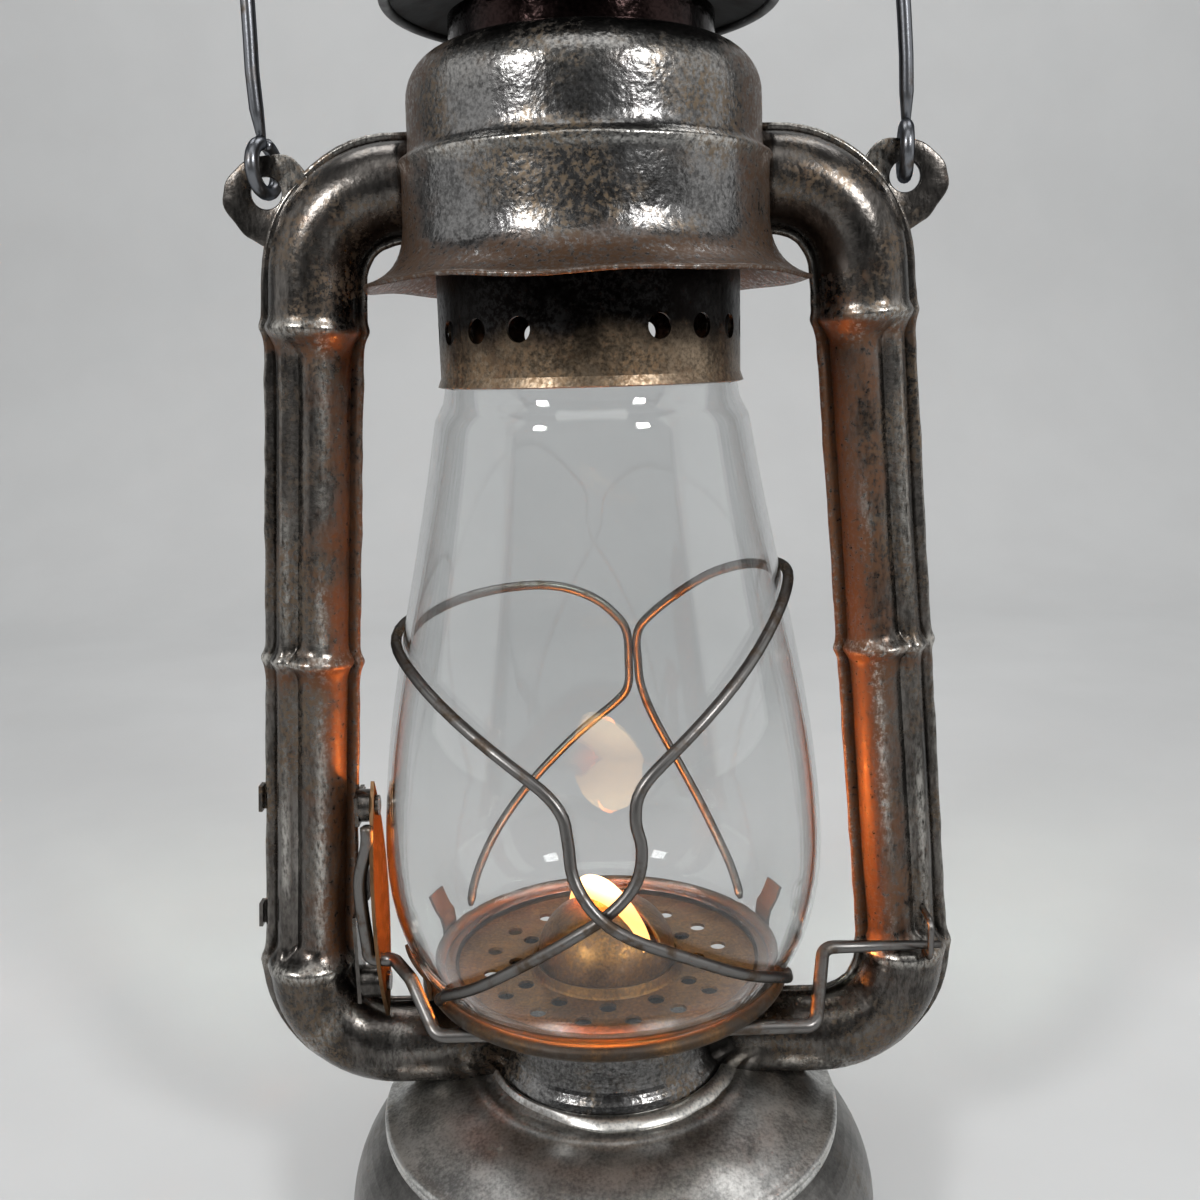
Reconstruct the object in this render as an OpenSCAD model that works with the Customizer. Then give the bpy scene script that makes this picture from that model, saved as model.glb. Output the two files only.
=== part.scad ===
// Tubular hurricane lantern, in millimetres.
// X runs from the left tube to the right tube, Y runs to the back, Z is up.
// The origin is the centre of the standing ring.

/* [Sheet and wire] */
// Thickness of the pressed sheet
sheet = 0.8; // [0.6:0.05:1]
// Radius of the globe guard wire
guard_r = 1.25; // [1:0.05:1.4]
// Radius of the lift wire
crank_r = 1.6; // [1.4:0.05:1.8]
// Radius of the carrying wire
bail_r = 1.55; // [1.3:0.05:1.8]

/* [Tank] */
// Radius of the tank at its widest
tank_r = 66; // [62:0.5:72]
// Height of the widest line
belly_z = 20; // [17:0.5:23]
// Radius of the seam between bowl and dome
seam_r = 55.7; // [53:0.1:58]
// Height of that seam
seam_z = 45; // [43:0.5:47]
// Depth of the dome's skirt below the seam
skirt = 3; // [2:0.5:4]
// Height of the flat top of the dome
dome_z = 56; // [55:0.25:57]
// Radius of the flat top of the dome
dome_flat_r = 31; // [29:0.5:33]
// Inner radius of the standing ring
foot_in_r = 53; // [48:0.5:55]
// Height of the bottom plate above the ground
bottom_rise = 3; // [2:0.5:5]

/* [Filler] */
// Distance of the filler from the axis
filler_y = 43; // [42:0.5:44]
// Outer radius of the filler neck
filler_r = 10; // [8:0.5:11]
// Height of the filler neck above the dome
filler_h = 5; // [4:0.5:7]

/* [Burner] */
// Outer radius of the air collar
collar_r = 26; // [24:0.5:26]
// Outer radius of the burner cone
cone_r = 17; // [15:0.5:18]
// Height of the top of the cone
cone_top_z = 98; // [95:0.5:102]
// Width of the wick
wick_w = 18; // [14:0.5:20]
// Thickness of the wick
wick_t = 2.4; // [1.6:0.1:2.8]
// Height of the wick shaft
shaft_z = 68; // [66:0.5:70]
// Radius of the wick shaft
shaft_r = 1.2; // [1:0.1:1.5]
// Radius of the thumbwheel
knob_r = 7.5; // [6:0.5:9]
// Direction of the wick, in degrees from the X axis
wick_turn = -45; // [-60:1:-30]

/* [Globe carrier] */
// Height of the underside of the gallery plate
plate_z = 80; // [79.5:0.25:81]
// Radius of the rolled rim, at the middle of its bead
rim_r = 43; // [42.5:0.1:43.5]
// Radius of the rim's bead
rim_bead = 1.7; // [1.4:0.1:1.9]
// Room between the globe's foot and the middle of the rim's bead, under a belly as wide as the rim
foot_room = 1.36; // [1:0.02:2.2]
// Inward step of the foot for each millimetre that the belly stands out past the rim
foot_lean = 0.45; // [0.4:0.01:0.5]
// Radius of the globe at its widest
globe_r = 52.2; // [50:0.1:52.5]
// Height of the widest line of the globe above the plate
globe_wide_h = 34; // [32:0.5:36]
// Height of the globe
globe_h = 145.7; // [140:0.1:148]
// Radius of the globe's mouth
globe_top_r = 32.3; // [31:0.1:32.5]
// Thickness of the glass
glass = 2; // [1.5:0.1:2.5]

/* [Lift] */
// Height of the lift wire's journal
journal_z = 88; // [87.5:0.1:89]
// Distance of the journal in front of the axis
journal_y = 10.5; // [10:0.1:11]
// How far the throw stands in front of the journal
crank_reach = 18; // [17.5:0.1:19]
// Length of the handle above the journal
handle_h = 30; // [24:0.5:31]

/* [Tubes] */
// Radius of the round part of a side tube
tube_r = 10; // [9:0.1:10.5]
// Half distance of the bend vertices at the hood
tube_top_x = 59.4; // [58:0.1:61]
// Half distance of the bend vertices at the tank
tube_low_x = 75.3; // [74:0.1:77]
// Height of the tube's run into the hood
tube_top_z = 265.5; // [264:0.1:267]
// Height of the tube's run into the tank
tube_low_z = 60.5; // [59.5:0.25:61.5]
// Radius of the upper bend
bend_top = 20; // [18:0.5:22]
// Radius of the lower bend
bend_low = 21; // [19:0.5:22]
// Width of the seam flange
flange_w = 1.8; // [1:0.1:2.5]

/* [Hood and chimney] */
// Radius of the hood's flared rim
hood_rim_r = 50; // [48:0.5:52]
// Height of that rim
hood_rim_z = 244; // [242:0.5:246]
// Radius of the hood's lower wall
hood_r = 40.2; // [39:0.1:41]
// Height of the hood's top
hood_top_z = 292; // [290:0.5:296]
// Radius of the dark neck on the hood
neck_r = 28.5; // [27:0.5:30]
// Outer radius of the perforated ring round the globe's mouth
ring_r = 33.6; // [33.4:0.1:34]
// Radius of the chimney tube
flue_r = 22; // [20:0.5:23]
// Radius of the canopy's brim
brim_r = 42; // [38:0.5:46]
// Height of the canopy's brim
brim_z = 303; // [302:0.5:306]
// Height of the cap's crown
cap_top_z = 336; // [330:0.5:342]

/* [Bail] */
// Half distance of the bail's eyes
bail_x = 70; // [69:0.25:71]
// Height of the bail's swing axis
bail_z = 270.5; // [269.5:0.25:271]
// Radius of an eye, at the middle of the wire
eye_r = 5.2; // [5:0.1:6]
// Length of the straight legs
bail_leg = 60; // [55:1:80]

/* [Hidden] */
$fn = 96;

// Gap between soldered or stacked pieces, between moving pieces, and round a journal
fit = 0.1;
run = 0.3;
bearing = 0.1;
// Reach of a cutting shape past what it cuts
past = 1;

steel = "#6b6761";
dark_steel = "#4a4642";
rust = "#6a5647";
brass = "#8a7150";
wire_grey = "#5d5f62";

// Outline helpers

function unit(v) = v / norm(v);
function mix(a, b, t) = a + (b - a) * t;
function arc(c, r, a0, a1, n) =
    [for (k = [0:n]) c + r * [cos(mix(a0, a1, k / n)), sin(mix(a0, a1, k / n))]];
// Curve from p to q that stands sag to the right of the straight way
function bow(p, q, sag, n) =
    let (side = [q[1] - p[1], p[0] - q[0]] / norm(q - p))
    [for (k = [0:n]) mix(p, q, k / n) + side * 4 * sag * (k / n) * (1 - k / n)];
// Mitred normal to the right of a path at its point i
function side_at(p, i) =
    let (
        j = max(i, 1),
        k = min(i, len(p) - 2),
        a = unit(p[j] - p[j - 1]),
        b = unit(p[k + 1] - p[k]),
        m = unit(a + b)
    )
    [m[1], -m[0]] / (a * m);
// Closed outline of a sheet whose right face follows the path
function walled(p, t) = concat(p, [for (i = [len(p) - 1:-1:0]) p[i] - t * side_at(p, i)]);

module turned(path, t = sheet) {
    rotate_extrude() polygon(walled(path, t));
}
module ring_of_wire(r, z, wire) {
    translate([0, 0, z]) rotate_extrude() translate([r, 0]) circle(wire);
}
module placed(at, e1, e2, e3) {
    multmatrix([
        [e1[0], e2[0], e3[0], at[0]],
        [e1[1], e2[1], e3[1], at[1]],
        [e1[2], e2[2], e3[2], at[2]],
        [0, 0, 0, 1]
    ]) children();
}

// Bent wire helpers

function way(p, i) = unit(p[i + 1] - p[i]);
function turn_at(p, i) = acos(max(-1, min(1, way(p, i - 1) * way(p, i))));
function bend_cut(p, i, bend) = bend * tan(turn_at(p, i) / 2);

// A bend stops this short of the straight beside it, and a slightly wider sleeve closes the seam
seam_gap = 0.2;
sleeve_grow = 0.05;
function seam_turn(bend) = seam_gap / bend * 180 / PI;

module wire_sleeve(r, z) {
    translate([0, 0, z - 1.5 * seam_gap]) cylinder(r = r + sleeve_grow, h = 3 * seam_gap);
}
// Wire through the points p, each piece drawn in the frame at the end of the one before it
module wire_from(p, i, e1, r, bend) {
    last = len(p) - 2;
    d1 = way(p, i);
    cut_a = i > 0 ? bend_cut(p, i, bend) : 0;
    cut_b = i < last ? bend_cut(p, i + 1, bend) : 0;
    long = norm(p[i + 1] - p[i]) - cut_a - cut_b;
    cylinder(r = r, h = long);
    if (i > 0) wire_sleeve(r, 0);
    if (i < last) {
        wire_sleeve(r, long);
        turn = turn_at(p, i + 1);
        side = unit(way(p, i + 1) - d1 * (d1 * way(p, i + 1)));
        translate([0, 0, long]) rotate(atan2(side * cross(d1, e1), side * e1)) {
            translate([bend, 0, 0]) placed([0, 0, 0], [-1, 0, 0], [0, 0, 1], [0, 1, 0])
                rotate(seam_turn(bend)) rotate_extrude(angle = turn - 2 * seam_turn(bend))
                    translate([bend, 0]) circle(r);
            translate([bend, 0, 0]) rotate([0, turn, 0]) translate([-bend, 0, 0])
                wire_from(p, i + 1, side * cos(turn) - d1 * sin(turn), r, bend);
        }
    }
}
module bent_wire(p, r, bend) {
    d = way(p, 0);
    e1 = unit(cross(abs(d[2]) < 0.9 ? [0, 0, 1] : [1, 0, 0], d));
    placed(p[0], e1, cross(d, e1), d) wire_from(p, 0, e1, r, bend);
}

// Tank

shoulder_z = seam_z - skirt;
lip_r = seam_r - sheet - fit;
belly_round = (pow(tank_r - lip_r, 2) + pow(shoulder_z - belly_z, 2)) / (2 * (tank_r - lip_r));
belly_c = [tank_r - belly_round, belly_z];
lip_angle = asin((shoulder_z - belly_z) / belly_round);
foot_angle = -asin(belly_z / belly_round);
seam_round = 1;
step_h = 1;
step_w = 3;
mouth_r = 13;

// Outer face of the dome from the seam to the flat top, with its two steps
dome_path = concat(
    [[seam_r, shoulder_z], [seam_r, seam_z]],
    bow([seam_r - seam_round, seam_z + seam_round],
        [dome_flat_r + step_w + step_h, dome_z - 2 * step_h], 0.7, 8),
    [
        [dome_flat_r + step_w, dome_z - step_h],
        [dome_flat_r, dome_z - step_h],
        [dome_flat_r - step_h, dome_z]
    ]
);

module tank_bowl() {
    color(steel) turned(concat(
        [[0, bottom_rise], [foot_in_r - bottom_rise, bottom_rise], [foot_in_r, 0]],
        arc(belly_c, belly_round, foot_angle, lip_angle, 18),
        [[lip_r, seam_z - 0.5]]
    ));
}
module tank_top() {
    bead = 1.1;
    color(steel) difference() {
        union() {
            turned(concat(dome_path, [[mouth_r, dome_z]]));
            rotate_extrude() intersection() {
                union() {
                    translate([seam_r, seam_z - 0.2]) circle(bead);
                    translate([seam_r, shoulder_z + bead]) circle(bead);
                }
                translate([seam_r - sheet / 2, 0]) square([tank_r, 2 * seam_z]);
            }
        }
        at_filler() cylinder(r = filler_r + fit, h = 4 * filler_h, center = true);
    }
}

// Filler on the back of the dome, square to the dome there

filler_tilt = atan2(dome_z - 2 * step_h - seam_z - seam_round,
    seam_r - seam_round - dome_flat_r - step_w - step_h);
dome_run = (seam_r - seam_round - filler_y) / (seam_r - seam_round - dome_flat_r - step_w - step_h);
filler_z = mix(seam_z + seam_round, dome_z - 2 * step_h, dome_run) + 0.65;
filler_bore = filler_r - 1.5;
filler_root = 4;
gasket_t = 2;
cap_wall = 1.4;
cap_lift = 1;

module at_filler() {
    translate([0, filler_y, filler_z]) rotate([-filler_tilt, 0, 0]) children();
}
module filler_neck() {
    color(brass) at_filler() difference() {
        translate([0, 0, -filler_root]) cylinder(r = filler_r, h = filler_root + filler_h);
        translate([0, 0, -filler_root - past])
            cylinder(r = filler_bore, h = filler_root + filler_h + 2 * past);
    }
}
module filler_cap() {
    inner_r = filler_r + run;
    roof_h = filler_h + run + gasket_t + fit;
    grips = 24;
    color(brass) at_filler() difference() {
        union() {
            translate([0, 0, cap_lift]) cylinder(r = inner_r + cap_wall, h = roof_h - cap_lift);
            translate([0, 0, roof_h]) rotate_extrude() polygon(concat(
                [[0, 0], [inner_r + cap_wall, 0]],
                bow([inner_r + cap_wall, 0.4], [0, 1.8], 0.5, 6)
            ));
        }
        translate([0, 0, cap_lift - past]) cylinder(r = inner_r, h = roof_h - cap_lift + past);
        for (k = [0:grips - 1]) rotate(k * 360 / grips)
            translate([inner_r + cap_wall + 0.5, 0, -past]) cylinder(r = 0.9, h = roof_h - past);
    }
}
module cap_gasket() {
    color("#2b2927") at_filler() translate([0, 0, filler_h + run]) difference() {
        cylinder(r = filler_r, h = gasket_t);
        translate([0, 0, -past]) cylinder(r = filler_bore - 0.5, h = gasket_t + 2 * past);
    }
}

// Burner, in a frame turned so that x follows the wick

collar_top = plate_z - 0.4;
collar_foot = dome_z + fit;
drum_r = cone_r - sheet - fit;
drum_base = dome_z + fit;
drum_top = plate_z + 4;
tube_wall = 0.8;
slack = 0.4;
wick_bore = [wick_w + 2 * slack, wick_t + 2 * slack];
wick_case = wick_bore + [2 * tube_wall, 2 * tube_wall];
sprocket_r = 4;
shaft_y = wick_t / 2 + run + sprocket_r;
sprocket_x = wick_w / 4;
knob_x = 48;
knob_t = 3;
wick_bottom = 13;
wick_top = cone_top_z - 2.5;

module burner_frame() {
    rotate(wick_turn) children();
}
module shaft_bore(gap) {
    translate([-knob_x, shaft_y, shaft_z]) rotate([0, 90, 0])
        cylinder(r = shaft_r + gap, h = knob_x + 2 * drum_r);
}
module flat_tube(size, z0, z1) {
    translate([-size[0] / 2, -size[1] / 2, z0]) cube([size[0], size[1], z1 - z0]);
}
module air_collar() {
    cove = 2.4;
    color(dark_steel) difference() {
        turned(concat(
            [[collar_r + cove + 1, collar_foot + sheet], [collar_r + cove, collar_foot + sheet]],
            bow([collar_r + cove - 0.6, collar_foot + 2.4], [collar_r, collar_foot + 7], -0.5, 5),
            [[collar_r, collar_top]]
        ));
        for (s = [-1, 1]) translate([s * collar_r, 0, tube_low_z + 4]) rotate([0, 90, 0])
            cylinder(r = 4, h = 12, center = true);
        burner_frame() shaft_bore(run);
    }
}
module burner_body() {
    base_r = collar_r - 4;
    color(rust) difference() {
        union() {
            translate([0, 0, drum_base]) cylinder(r = base_r, h = 1);
            translate([0, 0, drum_base]) cylinder(r = drum_r, h = drum_top - drum_base);
        }
        translate([0, 0, drum_base + 1]) cylinder(r = drum_r - sheet, h = drum_top);
        burner_frame() {
            flat_tube(wick_case + [2 * fit, 2 * fit], 0, drum_base + 2);
            shaft_bore(bearing);
        }
        for (k = [0:15]) rotate(k * 22.5 + 11.25) translate([drum_r, 0, drum_top - 7])
            rotate([0, 90, 0]) cylinder(r = 1.5, h = 4, center = true);
    }
}
module burner_cone() {
    skirt_z = drum_top - 2.5;
    brow_z = drum_top + 3;
    slot = [wick_w + 3, wick_t + 3];
    color(rust) difference() {
        turned(concat(
            [[cone_r, skirt_z], [cone_r, brow_z]],
            [for (k = [1:8]) [cone_r * cos(k * 11), mix(brow_z, cone_top_z, sin(k * 11))]]
        ));
        burner_frame() flat_tube(slot, brow_z, cone_top_z + past);
    }
}
module wick_tube() {
    color(brass) burner_frame() difference() {
        flat_tube(wick_case, wick_bottom + 30, cone_top_z - 5);
        flat_tube(wick_bore, wick_bottom, cone_top_z);
        for (s = [-1, 1]) translate([s * sprocket_x - 1.3, 0, shaft_z - sprocket_r - 0.5])
            cube([2.6, wick_case[1], 2 * sprocket_r + 1]);
    }
}
module wick() {
    color("#cbbfa4") burner_frame() flat_tube([wick_w, wick_t], wick_bottom, wick_top);
}
module wick_shaft() {
    color(steel) burner_frame() translate([-knob_x, shaft_y, shaft_z]) rotate([0, 90, 0])
        cylinder(r = shaft_r, h = knob_x + drum_r);
}
module wick_sprockets() {
    teeth = 9;
    color(brass) burner_frame() for (s = [-1, 1])
        translate([s * sprocket_x - 0.5, shaft_y, shaft_z]) rotate([0, 90, 0]) difference() {
            linear_extrude(1) polygon([for (k = [0:2 * teeth - 1])
                (k % 2 == 0 ? sprocket_r : sprocket_r - 1.5)
                    * [cos(k * 180 / teeth), sin(k * 180 / teeth)]]);
            translate([0, 0, -past]) cylinder(r = shaft_r + fit / 2, h = 1 + 2 * past);
        }
}
module wick_knob() {
    grips = 18;
    color(brass) burner_frame() translate([-knob_x - knob_t / 2, shaft_y, shaft_z])
        rotate([0, 90, 0]) difference() {
            union() {
                cylinder(r = knob_r, h = knob_t);
                cylinder(r = 3, h = knob_t + 2);
            }
            translate([0, 0, knob_t / 2]) cylinder(r = shaft_r + fit / 2, h = knob_t + 2);
            for (k = [0:grips - 1]) rotate(k * 360 / grips) translate([knob_r + 0.4, 0, -past])
                cylinder(r = 0.8, h = knob_t + 2 * past);
        }
}

// Globe carrier

globe_foot_r = rim_r - foot_room - foot_lean * (globe_r - rim_r);
floor_z = plate_z + sheet;
rim_z = plate_z + rim_bead;
globe_z = floor_z + fit / 2;
wide_z = plate_z + globe_wide_h;
belly_h = globe_wide_h - sheet - 0.7;
globe_top_z = plate_z + globe_h + sheet;

function globe_low_r(z) =
    mix(globe_foot_r, globe_r, sqrt(max(0, 1 - pow((wide_z - z) / belly_h, 2))));
function globe_high_r(s) =
    mix(globe_r, globe_top_r, 0.55 * pow(s, 1.5) + 0.45 * (1 - cos(180 * s)) / 2);
function globe_at(z) =
    z < wide_z ? globe_low_r(z) : globe_high_r((z - wide_z) / (globe_top_z - wide_z));

globe_path = concat(
    [[globe_foot_r, globe_z]],
    [for (k = [1:9]) let (z = wide_z - belly_h * cos(k * 10)) [globe_low_r(z), z]],
    [for (k = [1:14]) [globe_high_r(k / 14), mix(wide_z, globe_top_z, k / 14)]]
);

module gallery_plate() {
    throat = cone_r + 0.6;
    outer_row = 16;
    inner_row = 12;
    hole_r = 2;
    color(rust) difference() {
        union() {
            turned([
                [throat, floor_z + 2],
                [throat + sheet, plate_z + sheet],
                [throat + 2 * sheet, plate_z],
                [rim_r, plate_z]
            ]);
            ring_of_wire(rim_r, rim_z, rim_bead);
        }
        for (k = [0:outer_row - 1]) rotate((k + 0.5) * 360 / outer_row)
            translate([rim_r - 14, 0, plate_z - past]) cylinder(r = hole_r, h = sheet + 2 * past);
        for (k = [0:inner_row - 1]) rotate(k * 360 / inner_row)
            translate([throat + 5, 0, plate_z - past]) cylinder(r = hole_r, h = sheet + 2 * past);
    }
}
module globe() {
    color([0.8, 0.85, 0.82, 0.35]) turned(globe_path, glass);
}

// Guard wires: [degrees from the front, height above the plate, extra distance from the glass]
guard_left_route = [
    [72, 4, 0], [63, 6.5, 0], [49, 13, 0], [34, 19.5, 0], [18, 28, 0.8], [5, 35, 2.7], [-2, 40.5, 2.7],
    [-6.5, 47, 0.8], [-7.7, 54, 0], [-9.5, 60, 0], [-17, 66, 0], [-38, 76, 0], [-60, 83, 0],
    [-84, 86, 0], [-112, 87.5, 0], [-142, 88.5, 0], [-166, 87, 0], [-182, 81.5, 0], [-188.5, 73, 0],
    [-189.4, 66, 0], [-189, 59, 0], [-183, 50, 0], [-172, 43, 0], [-158, 31, 0], [-145, 20, 0],
    [-134, 11, 0], [-124, 4, 0]
];
guard_right_route = [
    [-58, 4, 0], [-47, 11, 0], [-33, 18, 0], [-17.5, 27.5, 0], [-7, 34, 0], [1.5, 39.5, 0],
    [7, 45.5, 0], [8.4, 52, 0], [7.3, 58, 0], [9, 64, 0], [17, 70.5, 0], [36, 82, 0], [56, 92, 0],
    [74, 97.5, 0], [92, 99, 0], [110, 98, 0], [124, 95.5, 0], [138, 91.5, 0], [151, 84.5, 0],
    [161, 77, 0], [166.5, 70, 0], [167, 63, 0], [165.5, 55, 0], [160, 43, 0], [152, 30, 0],
    [142, 17.5, 0], [132, 9, 0], [124, 4, 0]
];
guard_steps = 2;
guard_sides = 8;

// Point of a smooth curve through the route, u counted in route points
function route_at(p, u) =
    let (
        i = min(floor(u), len(p) - 2),
        t = u - i,
        a = p[max(i - 1, 0)],
        b = p[i],
        c = p[i + 1],
        d = p[min(i + 2, len(p) - 1)]
    )
    b + 0.5 * t * ((c - a) + t * (2 * a - 5 * b + 4 * c - d + t * (3 * (b - c) + d - a)));
rim_reach = rim_bead + guard_r + fit;
function beside_rim(z) = rim_r + sqrt(max(0, pow(rim_reach, 2) - pow(z - rim_z, 2)));
function guard_point(q) =
    let (
        z = plate_z + q[1],
        r = max(globe_at(z) + guard_r + run + q[2], beside_rim(z))
    )
    [r * sin(q[0]), -r * cos(q[0]), z];
function guard_line(route) = [for (k = [0:guard_steps * (len(route) - 1)])
    guard_point(route_at(route, k / guard_steps))];

module swept_wire(p, r, sides) {
    last = len(p) - 1;
    rings = [for (i = [0:last]) let (
            t = unit(p[min(i + 1, last)] - p[max(i - 1, 0)]),
            out = unit([p[i][0], p[i][1], 0]),
            e1 = unit(out - t * (out * t)),
            e2 = cross(t, e1)
        ) for (k = [0:sides - 1]) p[i] + r * (e1 * cos(k * 360 / sides) + e2 * sin(k * 360 / sides))];
    ends = [p[0], p[last]];
    skin = [for (i = [0:last - 1]) for (k = [0:sides - 1]) let (
            a = i * sides + k,
            b = i * sides + (k + 1) % sides
        ) each [[a, a + sides, b], [b, a + sides, b + sides]]];
    first_cap = [for (k = [0:sides - 1]) [len(rings), k, (k + 1) % sides]];
    last_cap = [for (k = [0:sides - 1])
        [len(rings) + 1, last * sides + (k + 1) % sides, last * sides + k]];
    polyhedron(concat(rings, ends), concat(skin, first_cap, last_cap));
}
module guard_wire_left() {
    color(wire_grey) swept_wire(guard_line(guard_left_route), guard_r, guard_sides);
}
module guard_wire_right() {
    color(wire_grey) swept_wire(guard_line(guard_right_route), guard_r, guard_sides);
}
module globe_clips() {
    span = 9;
    places = [-72, -110, 110];
    foot_r = rim_r + rim_bead + fit + sheet;
    clip_path = concat(
        [[foot_r, rim_z - 1], [foot_r, rim_z + rim_bead]],
        [for (h = [6:2:12]) [globe_at(plate_z + h) + run + sheet, plate_z + h]]
    );
    color(rust) for (a = places) rotate(a - 90 - span / 2)
        rotate_extrude(angle = span) polygon(walled(clip_path, sheet));
}

// Lift wire: handle, journal, throw under the gallery plate, journal in front of the right tube

throw_z = plate_z - 0.2 - crank_r;
throw_y = -journal_y - crank_reach;
arm_y = -journal_y - crank_reach / 2;
// Place on the left that stands beyond the rim by gap
function past_rim(y, gap) = -sqrt(pow(rim_r + gap, 2) - pow(y, 2));
leaf_x = -54;
leaf_t = 0.9;
handle_x = leaf_x - leaf_t - 0.5 - crank_r;
crank_bend = 2;
web_x = 51;
crank_route = [
    [handle_x, -journal_y, journal_z + handle_h],
    [handle_x, -journal_y, journal_z],
    [-web_x, -journal_y, journal_z],
    [past_rim(arm_y, 6.5), arm_y, journal_z - 0.4],
    [past_rim(throw_y, 5), throw_y, throw_z],
    [web_x - 4, throw_y, throw_z],
    [web_x + 1, -journal_y, journal_z],
    [80, -journal_y, journal_z]
];

module crank_wire() {
    color(wire_grey) bent_wire(crank_route, crank_r, crank_bend);
}
module thumb_tab() {
    tab = [1.2, 9, 7];
    back_y = -journal_y + crank_r + fit;
    color(dark_steel) translate([handle_x - tab[0] / 2, 0, journal_z + 0.6 * handle_h - tab[2] / 2])
        linear_extrude(tab[2]) polygon(concat(
            [[0, back_y], [tab[0], back_y]],
            bow([tab[0], back_y + tab[1] - 1], [0, back_y + tab[1] - 1], -0.6, 6)
        ));
}

// Side tubes: path in the plane of X and Z, from the hood to the tank

tube_path = [
    [hood_r - 6, tube_top_z], [tube_top_x, tube_top_z], [tube_low_x, tube_low_z],
    [collar_r - 3, tube_low_z]
];
leg_way = way(tube_path, 1);
function leg_at(z) = tube_path[1] + leg_way * (z - tube_top_z) / leg_way[1];
leg_start = tube_path[1] + leg_way * bend_cut(tube_path, 1, bend_top);
leg_end = tube_path[2] - leg_way * bend_cut(tube_path, 2, bend_low);
ring_h = 2;
ring_top_z = 236;
ring_mid_z = 160;
tube_sheet = 0.8;
flange_t = 0.6;
main_lobe = [-2.2, 6.2];
side_lobe = [5.2, 2, 3.2];
leg_half = side_lobe[0] + side_lobe[2];
leg_edge = tube_r + flange_w - 0.6;
ear_r = 8.6;
ear_hole = bail_r + run;
ear_hole_z = bail_z - eye_r;

// Main lobe and two side lobes, with the space between them filled
module leg_section(grow) {
    translate([main_lobe[0], 0]) circle(main_lobe[1] + grow);
    for (s = [-1, 1]) translate([side_lobe[0], s * side_lobe[1]]) circle(side_lobe[2] + grow);
    translate([side_lobe[0] - 1.8, 0]) circle(2.2);
}
module upper_half() {
    intersection() {
        children();
        translate([-50, 0]) square([100, 50]);
    }
}
module flanges(half_w, edge) {
    root = half_w - 1.4;
    for (s = [-1, 1]) translate([s * (edge + root) / 2, flange_t / 2])
        square([edge - root, flange_t], center = true);
}
module round_wall(grow = 0) {
    upper_half() difference() {
        circle(tube_r + grow);
        circle(tube_r - tube_sheet - grow);
    }
    flanges(tube_r, tube_r + flange_w + grow);
}
module leg_wall() {
    upper_half() difference() {
        leg_section(0);
        leg_section(-tube_sheet);
    }
    flanges(leg_half, leg_edge);
}
module ring_wall(end) {
    upper_half() difference() {
        if (end) circle(tube_r + 0.3);
        else leg_section(0.7);
        leg_section(-tube_sheet - 0.1);
    }
}
// Pieces of a tube, drawn along x from the frame at the end of the piece before
module straight(long) {
    placed([0, 0, 0], [0, 1, 0], [0, 0, 1], [1, 0, 0]) linear_extrude(long) children();
}
module bend_right(turn, bend) {
    translate([0, -bend, 0]) rotate(90 - turn) rotate_extrude(angle = turn - seam_turn(bend))
        translate([bend, 0]) children();
}
module after_bend(turn, bend) {
    translate([0, -bend, 0]) rotate(-turn) translate([0, bend, 0]) children();
}
module tube_ring(at, end) {
    translate([at - ring_h / 2, 0, 0]) straight(ring_h) ring_wall(end);
}
// Front half of the right tube, drawn in the plane of X and Z with its depth along z
module tube_half() {
    top_turn = turn_at(tube_path, 1);
    low_turn = turn_at(tube_path, 2);
    stub = tube_path[1][0] - tube_path[0][0] - bend_cut(tube_path, 1, bend_top);
    above = norm(leg_at(ring_top_z) - leg_start);
    leg = norm(leg_end - leg_at(ring_top_z));
    run_in = tube_path[2][0] - tube_path[3][0] - bend_cut(tube_path, 2, bend_low);
    lap = 0.3;
    translate([tube_path[0][0], tube_path[0][1], 0]) {
        straight(stub) round_wall();
        translate([stub - 2 * seam_gap, 0, 0]) straight(4 * seam_gap) round_wall(sleeve_grow);
        translate([stub, 0, 0]) {
            bend_right(top_turn, bend_top) round_wall();
            after_bend(top_turn, bend_top) {
                straight(above) round_wall();
                translate([above, 0, 0]) {
                    translate([-lap, 0, 0]) straight(leg + 2 * lap) leg_wall();
                    tube_ring(0, true);
                    tube_ring(norm(leg_at(ring_mid_z) - leg_at(ring_top_z)), false);
                    tube_ring(leg, true);
                    translate([leg, 0, 0]) {
                        bend_right(low_turn, bend_low) round_wall();
                        after_bend(low_turn, bend_low) straight(run_in) round_wall();
                    }
                }
            }
        }
    }
    ear();
}
module ear() {
    corner = way(tube_path, 0) - leg_way;
    elbow_c = tube_path[1] - unit(corner) * bend_top / cos(turn_at(tube_path, 1) / 2);
    linear_extrude(flange_t) difference() {
        translate([bail_x, ear_hole_z - 1]) circle(ear_r);
        translate([bail_x, ear_hole_z]) circle(ear_hole);
        translate(elbow_c) circle(bend_top + tube_r - tube_sheet / 2);
    }
}
module right_tube() {
    color(steel) difference() {
        rotate([90, 0, 0]) tube_half();
        rotate_extrude() polygon(concat(
            [[0, hood_rim_z]],
            [for (p = hood_path) p + [fit, 0]],
            [[0, hood_top_z]]
        ));
        rotate_extrude() polygon(concat(
            [[0, shoulder_z]],
            [for (p = dome_path) p + [0, fit]],
            [[0, dome_z + fit]]
        ));
        translate([0, 0, dome_z]) cylinder(r = collar_r + fit, h = plate_z - dome_z);
        translate([0, 0, collar_foot]) cylinder(r = collar_r + 3.5 + fit, h = sheet + fit);
        translate([0, 0, collar_foot]) cylinder(r1 = collar_r + 3 + fit, r2 = collar_r, h = 8);
    }
}
module right_tube_front() right_tube();
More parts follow.
